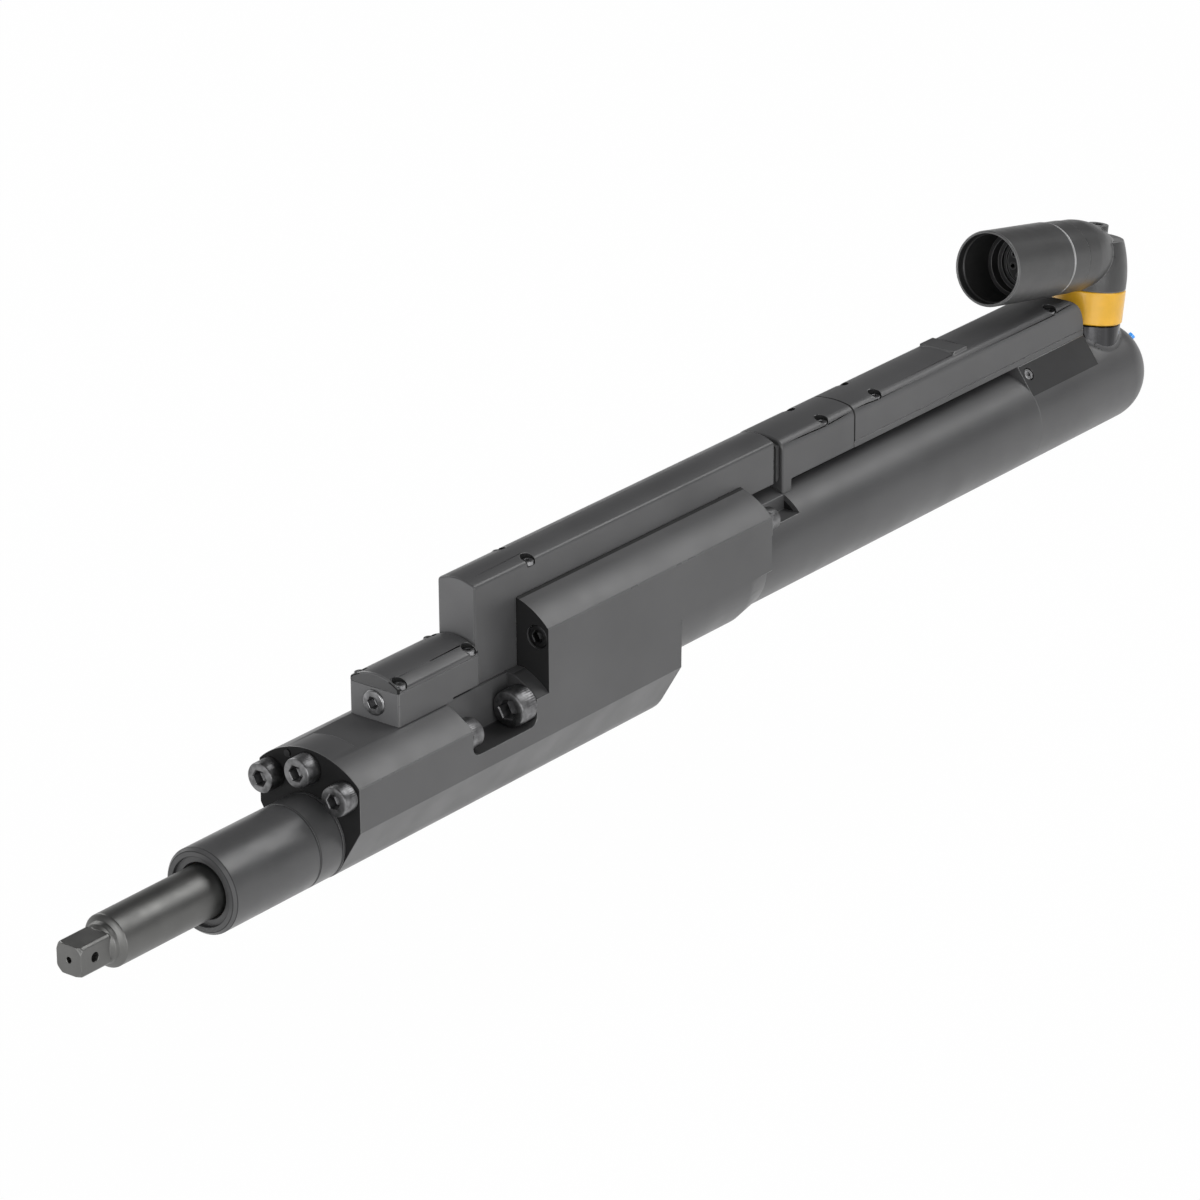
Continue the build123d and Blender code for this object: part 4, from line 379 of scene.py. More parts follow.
def connector_coat(name="connector_coat", low=0.040, high=0.050, rough=(0.32, 0.42)):
    """Fine-grained dark coat on the connector's metal shells."""
    f = Finish(name)
    f.tint(f.noise(70.0, 3.0), (low,) * 3, (high,) * 3)
    f.gloss(f.noise(180.0, 2.0), *rough)
    f.relief(f.cells(2600.0), 0.00002, 0.35)
    return f.set(IOR=1.52).material


def insert_plastic():
    f = Finish("insert_plastic")
    f.tint(f.noise(200.0, 3.0), (0.012, 0.012, 0.012), (0.024, 0.024, 0.025))
    f.gloss(f.noise(400.0), 0.38, 0.52)
    f.relief(f.noise(2600.0), 0.00003, 0.4)
    return f.material


def status_glow():
    """Clear blue lens with a faint light behind it."""
    c = tuple(colours().lens_blue)
    f = Finish("status_glow")
    f.tint(f.noise(500.0, 2.0), shade(c, 0.85), shade(c, 1.15))
    f.gloss(f.noise(400.0), 0.08, 0.16)
    f.set(Coat_Weight=0.6, Coat_Roughness=0.05, Emission_Color=(*c, 1.0), Emission_Strength=0.35)
    return f.material


def finish(name):
    """The material of that name, made on first use."""
    if name in Finish.made:
        return Finish.made[name]
    c = colours()
    makers = {
        "anodised_body": anodised,
        # Broken edges of the bodies: lighter, partly as wear and partly as a painted highlight
        "anodised_edge_wear_and_highlight": lambda: anodised("anodised_edge_wear_and_highlight", c.anodised_edge_wear_and_highlight, 0.3, (0.26, 0.34)),
        "anodised_sleeve": lambda: turned_metal("anodised_sleeve", c.anodised, 0.34, 0.00025, 0.000008,
                                                metallic=0.0),
        "burnished_spindle": lambda: turned_metal("burnished_spindle", c.spindle, 0.44, 0.00022, 0.000012),
        # Painted shade: flange and front faces, screw pockets, the rail and undersides darkened where shade
        # falls
        "shaded_face": lambda: anodised("shaded_face", shade(c.anodised, 0.22), 0.0, (0.5, 0.6), 0.1),
        # Painted shade at about half strength, for pockets, facets and the sleeve's broken edges
        "half_shaded_face": lambda: anodised("half_shaded_face", shade(c.anodised, 0.6), 0.0, (0.4, 0.5), 0.15),
        # Painted light: front faces made lighter, as where light falls on them
        "painted_light_face": lambda: anodised("painted_light_face", shade(c.anodised, 1.9), 0.0, (0.36, 0.44)),
        "blackened_screw": blackened,
        "dark_screw": lambda: blackened("dark_screw", shade(c.screw, 0.25), 0.38),
        "light_screw": lambda: blackened("light_screw", shade(c.screw, 1.6), 0.34),
        "ground_steel": ground_steel,
        "bearing_bronze": bearing_bronze,
        "black_rubber": black_rubber,
        "copper_winding": copper_wire,
        "circuit_board": circuit_board,
        "magnet_plate": magnet_plate,
        "laminated_steel": laminated_steel,
        "moulded_yellow": moulded_yellow,
        "plain_neck": neck_metal,
        "connector_coat": connector_coat,
        # Painted highlight on the connector's broken edges
        "connector_edge_highlight": lambda: connector_coat("connector_edge_highlight", 0.12, 0.15, (0.26, 0.34)),
        # Painted highlight at the coupling ring's end
        "painted_highlight_chamfer": lambda: connector_coat("painted_highlight_chamfer", 0.32, 0.40, (0.25, 0.30)),
        "black_seam": lambda: connector_coat("black_seam", 0.004, 0.006, (0.6, 0.7)),
        # Painted shade inside the barrel's mouth
        "shaded_bore": lambda: connector_coat("shaded_bore", 0.010, 0.016, (0.45, 0.55)),
        "insert_plastic": insert_plastic,
        # Lighter edges of the inserts: partly wear, partly a painted highlight
        "plastic_wear_and_highlight": lambda: connector_coat("plastic_wear_and_highlight", 0.10, 0.14, (0.30, 0.40)),
        "dark_contact": lambda: blackened("dark_contact", (0.05, 0.05, 0.05), 0.36),
        "status_glow": status_glow,
    }
    return makers[name]()


# Mesh making

WELD_REACH = 2e-6     # points nearer than this, in metres, become one
FLAT_ANGLE = 0.4      # faces that meet at less than this, in degrees, become one
FLUSH_REACH = 2e-5    # an edge lies in a flush plane when it is nearer than this, in metres
EDGE_ANGLE = 32.0     # edges where faces meet at more than this, in degrees, are broken
EDGE_SEGMENTS = 2
THROWN_SHARE = 0.6    # a point is thrown off the skin when it lies further out than this share of the bevel


def shown(name, mesh, body, materials, replaced=()):
    """Puts a finished mesh in the scene, riding on its body and standing for its nodes."""
    piece = bpy.data.objects.new(name, mesh)
    bpy.context.scene.collection.objects.link(piece)
    kinds = [face.material_index for face in mesh.polygons]
    mesh.materials.clear()
    for material in materials:
        mesh.materials.append(finish(material))
    mesh.polygons.foreach_set("material_index", kinds)
    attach(piece, body)
    if replaced:
        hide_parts(*replaced)
    return piece


def smooth(mesh, angle=None):
    mesh.shade_smooth()
    mesh.set_sharp_from_angle(angle=angle or sizes().smooth_angle)


def body_of(node):
    return frame["nodes"][node]["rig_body"]


def joined_copy(node):
    """A node's mesh with its loose triangles joined and its flat faces melted together."""
    bm = bmesh.new()
    bm.from_mesh(frame["nodes"][node].data)
    bmesh.ops.remove_doubles(bm, verts=bm.verts, dist=WELD_REACH)
    bmesh.ops.dissolve_limit(bm, angle_limit=math.radians(FLAT_ANGLE), verts=bm.verts, edges=bm.edges)
    points = [v.co.copy() for v in bm.verts]
    bm.verts.index_update()
    faces = [[v.index for v in f.verts] for f in bm.faces]
    bm.free()
    mesh = bpy.data.meshes.new(node + "_finished")
    mesh.from_pydata(points, [], faces)
    mesh.validate()
    return mesh


def mark_edges(mesh, flush):
    """Gives the sharp edges their bevel weight, but not those in a plane x = flush, where two bodies meet."""
    bm = bmesh.new()
    bm.from_mesh(mesh)
    weight = bm.edges.layers.float.new("bevel_weight_edge")
    for edge in bm.edges:
        sharp = len(edge.link_faces) == 2 and edge.calc_face_angle() > math.radians(EDGE_ANGLE)
        meets = any(all(abs(v.co.x - x * MM) < FLUSH_REACH for v in edge.verts) for x in flush)
        edge[weight] = 1.0 if sharp and not meets else 0.0
    bm.to_mesh(mesh)
    bm.free()


def skin_of(mesh):
    """The mesh's surface, as a tree that finds the nearest place on it."""
    bm = bmesh.new()
    bm.from_mesh(mesh)
    skin = BVHTree.FromBMesh(bm)
    bm.free()
    return skin


def pull_back(mesh, skin, reach):
    """Sets points that a bevel threw off the skin back on it."""
    for vertex in mesh.vertices:
        nearest, _, _, distance = skin.find_nearest(vertex.co)
        if distance > reach:
            vertex.co = nearest


def broken_edges(mesh, width, flush=()):
    """The mesh with its sharp edges broken; the broken edges take the second material."""
    skin = skin_of(mesh)
    mark_edges(mesh, flush)
    holder = bpy.data.objects.new("edge_holder", mesh)
    bpy.context.scene.collection.objects.link(holder)
    while len(mesh.materials) < 2:
        mesh.materials.append(None)
    bevel = holder.modifiers.new("edges", "BEVEL")
    bevel.width = width
    bevel.segments = EDGE_SEGMENTS
    bevel.limit_method = "WEIGHT"
    bevel.use_clamp_overlap = False
    bevel.material = 1
    bevel.miter_outer = "MITER_ARC"
    weights = holder.modifiers.new("weights", "WEIGHTED_NORMAL")
    weights.keep_sharp = True
    smooth(mesh)
    graph = bpy.context.evaluated_depsgraph_get()
    result = bpy.data.meshes.new_from_object(holder.evaluated_get(graph))
    bpy.data.objects.remove(holder)
    pull_back(result, skin, THROWN_SHARE * width)
    return result


def machined(node, material, edge_material=None, width=None, flush=(), inlays=()):
    """Stands a finished copy in a node's place, with broken edges.

    flush lists the planes x, in mm, whose edges stay sharp; inlays are further materials, each with
    the test of a face that takes it.
    """
    mesh = joined_copy(node)
    width = sizes().edge_break if width is None else width
    if width > 0:
        mesh = broken_edges(mesh, width, flush=flush)
    else:
        smooth(mesh)
    names = [material, edge_material or material]
    for inlay, takes_it in inlays:
        names.append(inlay)
        for face in mesh.polygons:
            if takes_it(face.center / MM, face.normal):
                face.material_index = len(names) - 1
    return shown(node + "_piece", mesh, body_of(node), names, (node,))


def dress(node, *materials):
    """Gives a node that stays as it is its finish."""
    node_object = frame["nodes"][node]
    node_object.data.materials.clear()
    for material in materials:
        node_object.data.materials.append(finish(material))


# Screws by Geometry Nodes

# Radius and height of the head, width of the hexagon and radius of the shank, in mm
SCREWS = {"M3": (2.6, 2.0, 2.0, 1.5), "M6": (5.0, 6.0, 5.0, 3.0), "M8": (6.5, 8.0, 6.0, 4.0),
          "M10": (8.0, 10.0, 8.0, 5.0)}
HEAD_EDGE = 0.07       # rounding of a head's rim, as a share of its radius
KNURL_VALLEY = 0.985   # radius between two ridges, as a share of the ridges' radius
PLAIN_STEPS = 48       # points round a head without ridges
HEAD_SMOOTH = 28       # faces of a head that meet at less than this, in degrees, shade as one
SOCKET_MOUTH = 0.56    # half the width of a socket's mouth, as a share of the hexagon's width
SOCKET_CHAMFER = 0.06  # depth of the chamfer at the mouth, as such a share
DRILL_POINT = 0.16     # depth of the drill's point under the floor, as such a share


def screw_form(name, radius, height, hexagon, shank, knurls, shank_radius):
    """A socket head screw's mesh: head towards -X from the seat at the origin, shank along +X."""
    depth = height * sizes().key_depth
    edge = radius * HEAD_EDGE
    rings = [(-height, radius - 2.2 * edge), (-height + edge * 0.6, radius - edge * 0.7),
             (-height + 1.8 * edge, radius), (-edge * 1.2, radius), (-edge * 0.3, radius - edge * 0.8),
             (0.0, radius - edge * 1.6), (0.0, shank_radius), (shank, shank_radius)]
    steps = 2 * knurls if knurls else PLAIN_STEPS
    bm = bmesh.new()
    rows = []
    for index, (x, r) in enumerate(rings):
        row = []
        for k in range(steps):
            turn = 2 * math.pi * k / steps
            valley = knurls and index in (2, 3) and k % 2
            reach = r * (KNURL_VALLEY if valley else 1.0) * MM
            row.append(bm.verts.new((x * MM, reach * math.cos(turn), reach * math.sin(turn))))
        rows.append(row)
    for a, b in zip(rows, rows[1:]):
        for k in range(steps):
            bm.faces.new((a[k], a[(k + 1) % steps], b[(k + 1) % steps], b[k]))
    bm.faces.new(rows[-1])
    mouth = [socket_point(k, steps, hexagon * SOCKET_MOUTH) for k in range(steps)]
    wall = [socket_point(k, steps, hexagon / 2) for k in range(steps)]
    lip = [bm.verts.new((-height * MM, y * MM, z * MM)) for y, z in mouth]
    inner = [bm.verts.new(((-height + hexagon * SOCKET_CHAMFER) * MM, y * MM, z * MM)) for y, z in wall]
    floor = [bm.verts.new(((-height + depth) * MM, y * MM, z * MM)) for y, z in wall]
    for a, b in ((rows[0], lip), (lip, inner), (inner, floor)):
        for k in range(steps):
            bm.faces.new((b[k], b[(k + 1) % steps], a[(k + 1) % steps], a[k]))
    drill = bm.verts.new(((-height + depth + hexagon * DRILL_POINT) * MM, 0, 0))
    for k in range(steps):
        bm.faces.new((floor[k], drill, floor[(k + 1) % steps]))
    bmesh.ops.recalc_face_normals(bm, faces=bm.faces)
    mesh = bpy.data.meshes.new(name)
    bm.to_mesh(mesh)
    bm.free()
    smooth(mesh, math.radians(HEAD_SMOOTH))
    return mesh


def socket_point(k, steps, half_flats):
    """Point k of a hexagon sampled all round, so that it meets a round ring of as many points."""
    turn = 2 * math.pi * k / steps
    within = (turn % (math.pi / 3)) - math.pi / 6
    reach = half_flats / math.cos(within)
    return reach * math.cos(turn), reach * math.sin(turn)


def repeat_tree():
    """Geometry Nodes that stand a form on every point, turned as the point's own turn says."""
    if "repeat_on_points" in bpy.data.node_groups:
        return bpy.data.node_groups["repeat_on_points"]
    tree = bpy.data.node_groups.new("repeat_on_points", "GeometryNodeTree")
    face = tree.interface
    face.new_socket("Geometry", in_out="INPUT", socket_type="NodeSocketGeometry")
    face.new_socket("Form", in_out="INPUT", socket_type="NodeSocketObject")
    face.new_socket("Finish", in_out="INPUT", socket_type="NodeSocketMaterial")
    face.new_socket("Geometry", in_out="OUTPUT", socket_type="NodeSocketGeometry")
    new = tree.nodes.new
    start, end = new("NodeGroupInput"), new("NodeGroupOutput")
    form = new("GeometryNodeObjectInfo")
    turn = new("GeometryNodeInputNamedAttribute")
    turn.data_type = "FLOAT_VECTOR"
    turn.inputs["Name"].default_value = "turn"
    rotation = new("FunctionNodeEulerToRotation")
    stand = new("GeometryNodeInstanceOnPoints")
    real = new("GeometryNodeRealizeInstances")
    paint = new("GeometryNodeSetMaterial")
    link = tree.links.new
    link(start.outputs["Geometry"], stand.inputs["Points"])
    link(start.outputs["Form"], form.inputs["Object"])
    link(form.outputs["Geometry"], stand.inputs["Instance"])
    link(turn.outputs["Attribute"], rotation.inputs["Euler"])
    link(rotation.outputs["Rotation"], stand.inputs["Rotation"])
    link(stand.outputs["Instances"], real.inputs["Geometry"])
    link(real.outputs["Geometry"], paint.inputs["Geometry"])
    link(start.outputs["Finish"], paint.inputs["Material"])
    link(paint.outputs["Geometry"], end.inputs["Geometry"])
    return tree


def repeated(name, form, places, finish_name):
    """A plain mesh of the form stood at each place; a place is a point in mm and a turn in radians."""
    points = bpy.data.meshes.new(name + "_points")
    points.from_pydata([[c * MM for c in point] for point, turn in places], [], [])
    turns = points.attributes.new("turn", "FLOAT_VECTOR", "POINT")
    for row, (point, turn) in zip(turns.data, places):
        row.vector = turn
    pattern = bpy.data.objects.new(name + "_form", form)
    holder = bpy.data.objects.new(name + "_holder", points)
    for thing in (pattern, holder):
        bpy.context.scene.collection.objects.link(thing)
    modifier = holder.modifiers.new("repeat", "NODES")
    modifier.node_group = repeat_tree()
    for socket in modifier.node_group.interface.items_tree:
        if socket.in_out == "INPUT" and socket.name in ("Form", "Finish"):
            value = {"Form": pattern, "Finish": finish(finish_name)}[socket.name]
            modifier[socket.identifier] = value
    bpy.context.view_layer.update()
    graph = bpy.context.evaluated_depsgraph_get()
    mesh = bpy.data.meshes.new_from_object(holder.evaluated_get(graph))
    bpy.data.objects.remove(holder)
    bpy.data.objects.remove(pattern)
    return mesh


# Planes x where two bodies meet, in mm, as the frame has them
JOINT = 120.1
MOTOR_FRONT = 273.3
TUBE_FRONT = 304.1
COVER_SPLIT = 356.6

# Places of seams, pockets and facets, in mm
SEAM_REACH = 0.6
CHANNEL_HALF_WIDTH = 9.6
CROWN_EDGE_Z = 50.0
SCALLOP_REACH = 4.2
FACET_FOOT_Z = 45.0
FACET_SCREW = (488.0, 12.6, 53.1)
POCKET_FRONT = 76.0
POCKET_IN = 8.0
POCKET_OUT = 26.0
POCKET_BOTTOM = 13.0
POCKET_TOP = 37.0
FLANGE_REACH = 0.5

# Distances along the connector's barrel from the swivel axis, and its height and bore, in mm
COUPLING_SEAM = 29.0
COUPLING_SEAM_FRONT = 0.6
COUPLING_SEAM_REAR = 0.5
BARREL_SPLIT = 42.5
CHAMFER_REACH = 1.0
BARREL_HEIGHT = 44.1
BARREL_BORE_R = 16.1

# How far a face's normal leans, for the tests of which face takes an inlay
SQUARE_ON = 0.9
DOWNWARD = 0.5
UPRIGHT_WALL = 0.6
SIDEWAYS = 0.98
FACET_NORMAL_Y = 0.81
FACET_LEAN = 0.01
FACET_WALL_LEAN = 0.05

# Widths of the broken edges on the smaller pieces, in metres
FINE_EDGE = 0.0002
BLOCK_EDGE = 0.00025
LID_EDGE = 0.0003
COVER_EDGE = 0.0004

# Screws: places in mm, and turns
HEAD_REAR = 71.1
FLANGE_SCREW_REACH = 29.5
FLANGE_SCREW_STEP = 40.6
AHEAD = (0.0, 0.0, 0.0)
BACK = (0.0, 0.0, math.pi)
UPRIGHT = (0.0, math.pi / 2, 0.0)
# Node, size, shank, x, y, z, turn and finish
PAIRED_SCREWS = (("housing_screws", "M10", 26.0, 112.1, 18.8, 23.6, AHEAD, "blackened_screw"),
                 ("case_screws", "M6", 24.0, 126.5, 20.2, 50.0, AHEAD, "dark_screw"),
                 ("motor_screws", "M6", 18.0, 276.3, 19.4, 50.6, BACK, "blackened_screw"))
# x, y on either side, z
LID_SCREWS = ((44.5, 10.15, 50.9), (88.1, 10.15, 50.9))
# x, y of the middle, y on either side of it, z
CROWN_SCREWS = ((130.0, 0.0, 7.6, 75.8), (336.4, 2.8, 8.8, 73.0), (376.2, 2.8, 8.8, 73.0),
                (513.5, 2.8, 8.8, 73.0))


def cap_screws(node, size, shank, places, finish_name="blackened_screw", knurls=None):
    radius, height, hexagon, shank_radius = SCREWS[size]
    ridges = sizes().knurls if knurls is None else knurls
    form = screw_form(node + "_shape", radius, height, hexagon, shank, ridges, shank_radius)
    mesh = repeated(node, form, places, finish_name)
    return shown(node + "_piece", mesh, body_of(node), (finish_name,), (node,))


def faces_front(place, normal):
    """True for the faces that look at the spindle's end of the tool."""
    return normal.x < -SQUARE_ON


def faces_down(place, normal):
    return normal.z < -DOWNWARD


def on_flange(place, normal):
    """True for the front housing's flange face, which takes painted shade, and not for the faces behind it.
    """
    return faces_front(place, normal) and place.x < FLANGE_REACH


def on_facet(place, normal):
    """True for the rear housing's two flat facets, which take painted shade at half strength."""
    return place.z > FACET_FOOT_Z and abs(abs(normal.y) - FACET_NORMAL_Y) < FACET_LEAN


def in_pocket(place, normal):
    """True for the faces inside the two pockets for the housing screws, which take painted shade at half
    strength.
    """
    ahead, side, height = place
    return (POCKET_FRONT < ahead < JOINT - FLANGE_REACH and POCKET_IN < abs(side) < POCKET_OUT
            and POCKET_BOTTOM < height < POCKET_TOP and abs(normal.y) < SIDEWAYS)


def at_split(place, normal):
    """True for the ends of the two motor covers where they meet, and for the edges there."""
    return abs(place.x - COVER_SPLIT) < SEAM_REACH


def beside_channel(place, normal):
    """True for the gear case's edges along the cable channel."""
    return place.z > CROWN_EDGE_Z and abs(abs(place.y) - CHANNEL_HALF_WIDTH) < SEAM_REACH


def in_scallop(place, normal):
    """True for the upright walls of the pockets round the small screws, which take painted shade."""
    rows = [(x, 0.0, y) for x, y, z in LID_SCREWS] + [(x, middle, y) for x, middle, y, z in CROWN_SCREWS]
    near = [math.hypot(place.x - x, abs(place.y - middle) - y) for x, middle, y in rows]
    return abs(normal.z) < UPRIGHT_WALL and min(near) < SCALLOP_REACH


def in_facet_pocket(place, normal):
    """True for the walls of the pockets round the two facet screws, which take painted shade."""
    reach = math.dist((place.x, abs(place.y), place.z), FACET_SCREW)
    return reach < SCALLOP_REACH and abs(abs(normal.y) - FACET_NORMAL_Y) > FACET_WALL_LEAN


def in_swivel_frame(place):
    """A point in mm, seen from the swivel axis: towards the barrel's tail, to the far side, and up."""
    joint = next(j for j in frame["record"]["behaviour"]["joints"] if j["name"] == "connector_swivel")
    up = Vector(joint["axis"])
    side = Vector((0.0, 1.0, 0.0))
    offset = Vector(place) - Vector(joint["pos_m"]) / MM
    return offset.dot(side.cross(up)), offset.dot(side), offset.dot(up)


def along_barrel(place):
    """Distance in mm from the swivel axis towards the barrel's mouth."""
    return -in_swivel_frame(place)[0]


def in_bore(place, normal):
    """True for the faces inside the barrel's open mouth, which take painted shade."""
    _, side, height = in_swivel_frame(place)
    return math.hypot(side, height - BARREL_HEIGHT) < BARREL_BORE_R


def past_elbow_seam(place, normal):
    """True for the elbow's end that the coupling ring meets."""
    return along_barrel(place) > COUPLING_SEAM - COUPLING_SEAM_REAR


def before_ring_seam(place, normal):
    """True for the coupling ring's end that the elbow meets."""
    return along_barrel(place) < COUPLING_SEAM + COUPLING_SEAM_FRONT


def at_ring_chamfer(place, normal):
    """True for the coupling ring's end where the barrel's sleeve starts, which takes a painted highlight."""
    return along_barrel(place) > BARREL_SPLIT - CHAMFER_REACH


def coiled_spring():
    """The return spring, seated on the drive shaft, as a finished copy with a mesh of its own; nothing here
    shortens it as the spindle slides in.
    """
    spring = machined("return_spring", "ground_steel", width=0)
    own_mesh(spring)


# Stage

# The gloss's white fades over these heights of the sky, from the first strength to the second
CEILING = (-0.02, 0.22, 1.0, 0.10)
SKY_COLOUR = (0.80, 0.81, 0.83, 1.0)
SKY_STRENGTH = 0.35
WHITE = (1.0, 1.0, 1.0, 1.0)
FLOOR_REACH = 6.0
FLOOR_MIDDLE = 0.2
FLOOR_GLOW = 0.98      # share of the seen floor that is plain white
LAMP_TARGET = (0.22, 0.0, 0.03)
CAMERA_PLACE = (-1.59566, -1.39824, 0.98028)
CAMERA_TURN = (51.900, 22.559, -0.455)    # yaw, pitch and roll in degrees, solved from the photo
# Name, place, width in metres and power in watts
LAMPS = (
    ("top_lamp", (1.75, -0.95, 2.0), 1.6, 32.0),
    ("side_lamp", (-0.7, -2.4, 0.5), 1.8, 33.0),
    ("front_lamp", (-2.4, -0.4, 0.7), 1.4, 27.0),
    ("back_lamp", (0.4, 2.3, 1.2), 1.6, 25.0),
)


def lamp(name, place, width, power):
    """A soft square lamp that looks at the middle of the tool."""
    data = bpy.data.lights.new(name, "AREA")
    data.shape = "SQUARE"
    data.size = width
    data.energy = power
    holder = bpy.data.objects.new(name, data)
    holder.location = place
    away = Vector(place) - Vector(LAMP_TARGET)
    holder.rotation_euler = away.to_track_quat("Z", "Y").to_euler()
    bpy.context.scene.collection.objects.link(holder)


def seen_ray(tree):
    """1 where the camera sees a thing directly, in a gloss or through glass."""
    path = tree.nodes.new("ShaderNodeLightPath")
    first = tree.nodes.new("ShaderNodeMath")
    first.operation = "MAXIMUM"
    second = tree.nodes.new("ShaderNodeMath")
    second.operation = "MAXIMUM"
    tree.links.new(path.outputs["Is Camera Ray"], first.inputs[0])
    tree.links.new(path.outputs["Is Glossy Ray"], first.inputs[1])
    tree.links.new(first.outputs["Value"], second.inputs[0])
    tree.links.new(path.outputs["Is Transmission Ray"], second.inputs[1])
    return second.outputs["Value"]


def overhead_dark(tree):
    """White all round the horizon, with a dark studio ceiling that only the gloss of things shows."""
    way = tree.nodes.new("ShaderNodeSeparateXYZ")
    tree.links.new(tree.nodes.new("ShaderNodeTexCoord").outputs["Generated"], way.inputs["Vector"])
    rise = tree.nodes.new("ShaderNodeMapRange")
    for socket, value in zip(("From Min", "From Max", "To Min", "To Max"), CEILING):
        rise.inputs[socket].default_value = value
    tree.links.new(way.outputs["Z"], rise.inputs["Value"])
    glossy = tree.nodes.new("ShaderNodeMix")
    tree.links.new(tree.nodes.new("ShaderNodeLightPath").outputs["Is Glossy Ray"], glossy.inputs["Factor"])
    glossy.inputs["A"].default_value = 1.0
    tree.links.new(rise.outputs["Result"], glossy.inputs["B"])
    return glossy.outputs["Result"]


def studio_world():
    """A dim sky that lights the tool, and a white one that is seen."""
    world = bpy.data.worlds.new("studio_world")
    bpy.context.scene.world = world
    world.use_nodes = True
    tree = world.node_tree
    tree.nodes.clear()
    out = tree.nodes.new("ShaderNodeOutputWorld")
    plain = tree.nodes.new("ShaderNodeBackground")
    plain.inputs["Color"].default_value = SKY_COLOUR
    plain.inputs["Strength"].default_value = SKY_STRENGTH
    white = tree.nodes.new("ShaderNodeBackground")
    white.inputs["Color"].default_value = WHITE
    tree.links.new(overhead_dark(tree), white.inputs["Strength"])
    mix = tree.nodes.new("ShaderNodeMixShader")
    tree.links.new(seen_ray(tree), mix.inputs["Fac"])
    tree.links.new(plain.outputs["Background"], mix.inputs[1])
    tree.links.new(white.outputs["Background"], mix.inputs[2])
    tree.links.new(mix.outputs["Shader"], out.inputs["Surface"])


def studio_floor():
    """A pale floor under the tool, nearly white where it is seen."""
    low = CAD_BOX[0][2] - sizes().floor_drop
    bm = bmesh.new()
    bmesh.ops.create_grid(bm, x_segments=8, y_segments=8, size=FLOOR_REACH)
    mesh = bpy.data.meshes.new("studio_floor")
    bm.to_mesh(mesh)
    bm.free()
    mesh.transform(Matrix.Translation((FLOOR_MIDDLE, 0.0, low)))
    floor = bpy.data.objects.new("studio_floor", mesh)
    bpy.context.scene.collection.objects.link(floor)
    f = Finish("studio_floor")
    f.tint(f.noise(3.0, 2.0), shade(tuple(colours().floor), 0.985), tuple(colours().floor))
    f.gloss(f.noise(8.0), 0.75, 0.85)
    glow = f.tree.nodes.new("ShaderNodeEmission")
    glow.inputs["Color"].default_value = WHITE
    mix = f.tree.nodes.new("ShaderNodeMixShader")
    share = f.tree.nodes.new("ShaderNodeMath")
    share.operation = "MULTIPLY"
    share.inputs[1].default_value = FLOOR_GLOW
    f.join(seen_ray(f.tree), share.inputs[0])
    f.join(share.outputs["Value"], mix.inputs["Fac"])
    f.join(f.shader.outputs["BSDF"], mix.inputs[1])
    f.join(glow.outputs["Emission"], mix.inputs[2])
    f.join(mix.outputs["Shader"], f.out.inputs["Surface"])
    mesh.materials.append(f.material)


def studio_camera():
    data = bpy.data.cameras.new("camera")
    data.lens = sizes().lens
    data.sensor_width = 36.0
    data.clip_end = 50.0
    data.clip_start = 0.05
    camera = bpy.data.objects.new("camera", data)
    bpy.context.scene.collection.objects.link(camera)
    yaw, pitch, roll = (math.radians(angle) for angle in CAMERA_TURN)
    ahead = Vector((math.sin(yaw) * math.cos(pitch), math.cos(yaw) * math.cos(pitch), -math.sin(pitch)))
    level = Vector((math.cos(yaw), -math.sin(yaw), 0.0))
    over = level.cross(ahead)
    right = math.cos(roll) * level + math.sin(roll) * over
    up = math.cos(roll) * over - math.sin(roll) * level
    turn = Matrix((right, up, -ahead)).transposed().to_4x4()
    camera.matrix_world = Matrix.Translation(CAMERA_PLACE) @ turn
    bpy.context.scene.camera = camera
    bpy.context.scene.view_settings.view_transform = "Standard"


# Operators

class NUTRUNNER_OT_spindle(bpy.types.Operator):
    """Sprung spindle with its square drive"""
    bl_idname = "nutrunner.spindle"
    bl_label = "Square drive spindle"

    def execute(self, context):
        machined("spindle", "burnished_spindle", width=sizes().turned_edge)
        return {"FINISHED"}


class NUTRUNNER_OT_guide_sleeve(bpy.types.Operator):
    """Guide sleeve, its bushes and its wiper"""
    bl_idname = "nutrunner.guide_sleeve"
    bl_label = "Guide sleeve"

    def execute(self, context):
        # The sleeve's broken edges take painted shade at half strength
        machined("guide_sleeve", "anodised_sleeve", "half_shaded_face", sizes().turned_edge)
        machined("spindle_bushes", "bearing_bronze", width=sizes().turned_edge)
        machined("wiper_seal", "anodised_body", width=0)
        return {"FINISHED"}


class NUTRUNNER_OT_housings(bpy.types.Operator):
    """Front housing and gear case"""
    bl_idname = "nutrunner.housings"
    bl_label = "Front housing and gear case"

    def execute(self, context):
        # The flange face and the gear case's front faces take painted shade; the pockets take it at half
        # strength
        machined("front_housing", "anodised_body", "anodised_edge_wear_and_highlight", flush=(JOINT,),
                 inlays=(("shaded_face", on_flange), ("half_shaded_face", in_pocket)))
        machined("gear_case", "anodised_body", "anodised_edge_wear_and_highlight", flush=(JOINT, MOTOR_FRONT),
                 inlays=(("shaded_face", faces_front), ("black_seam", beside_channel)))
        machined("bore_cap", "anodised_body", "anodised_edge_wear_and_highlight")
        machined("dowel_pin", "dark_screw", width=0)
        return {"FINISHED"}


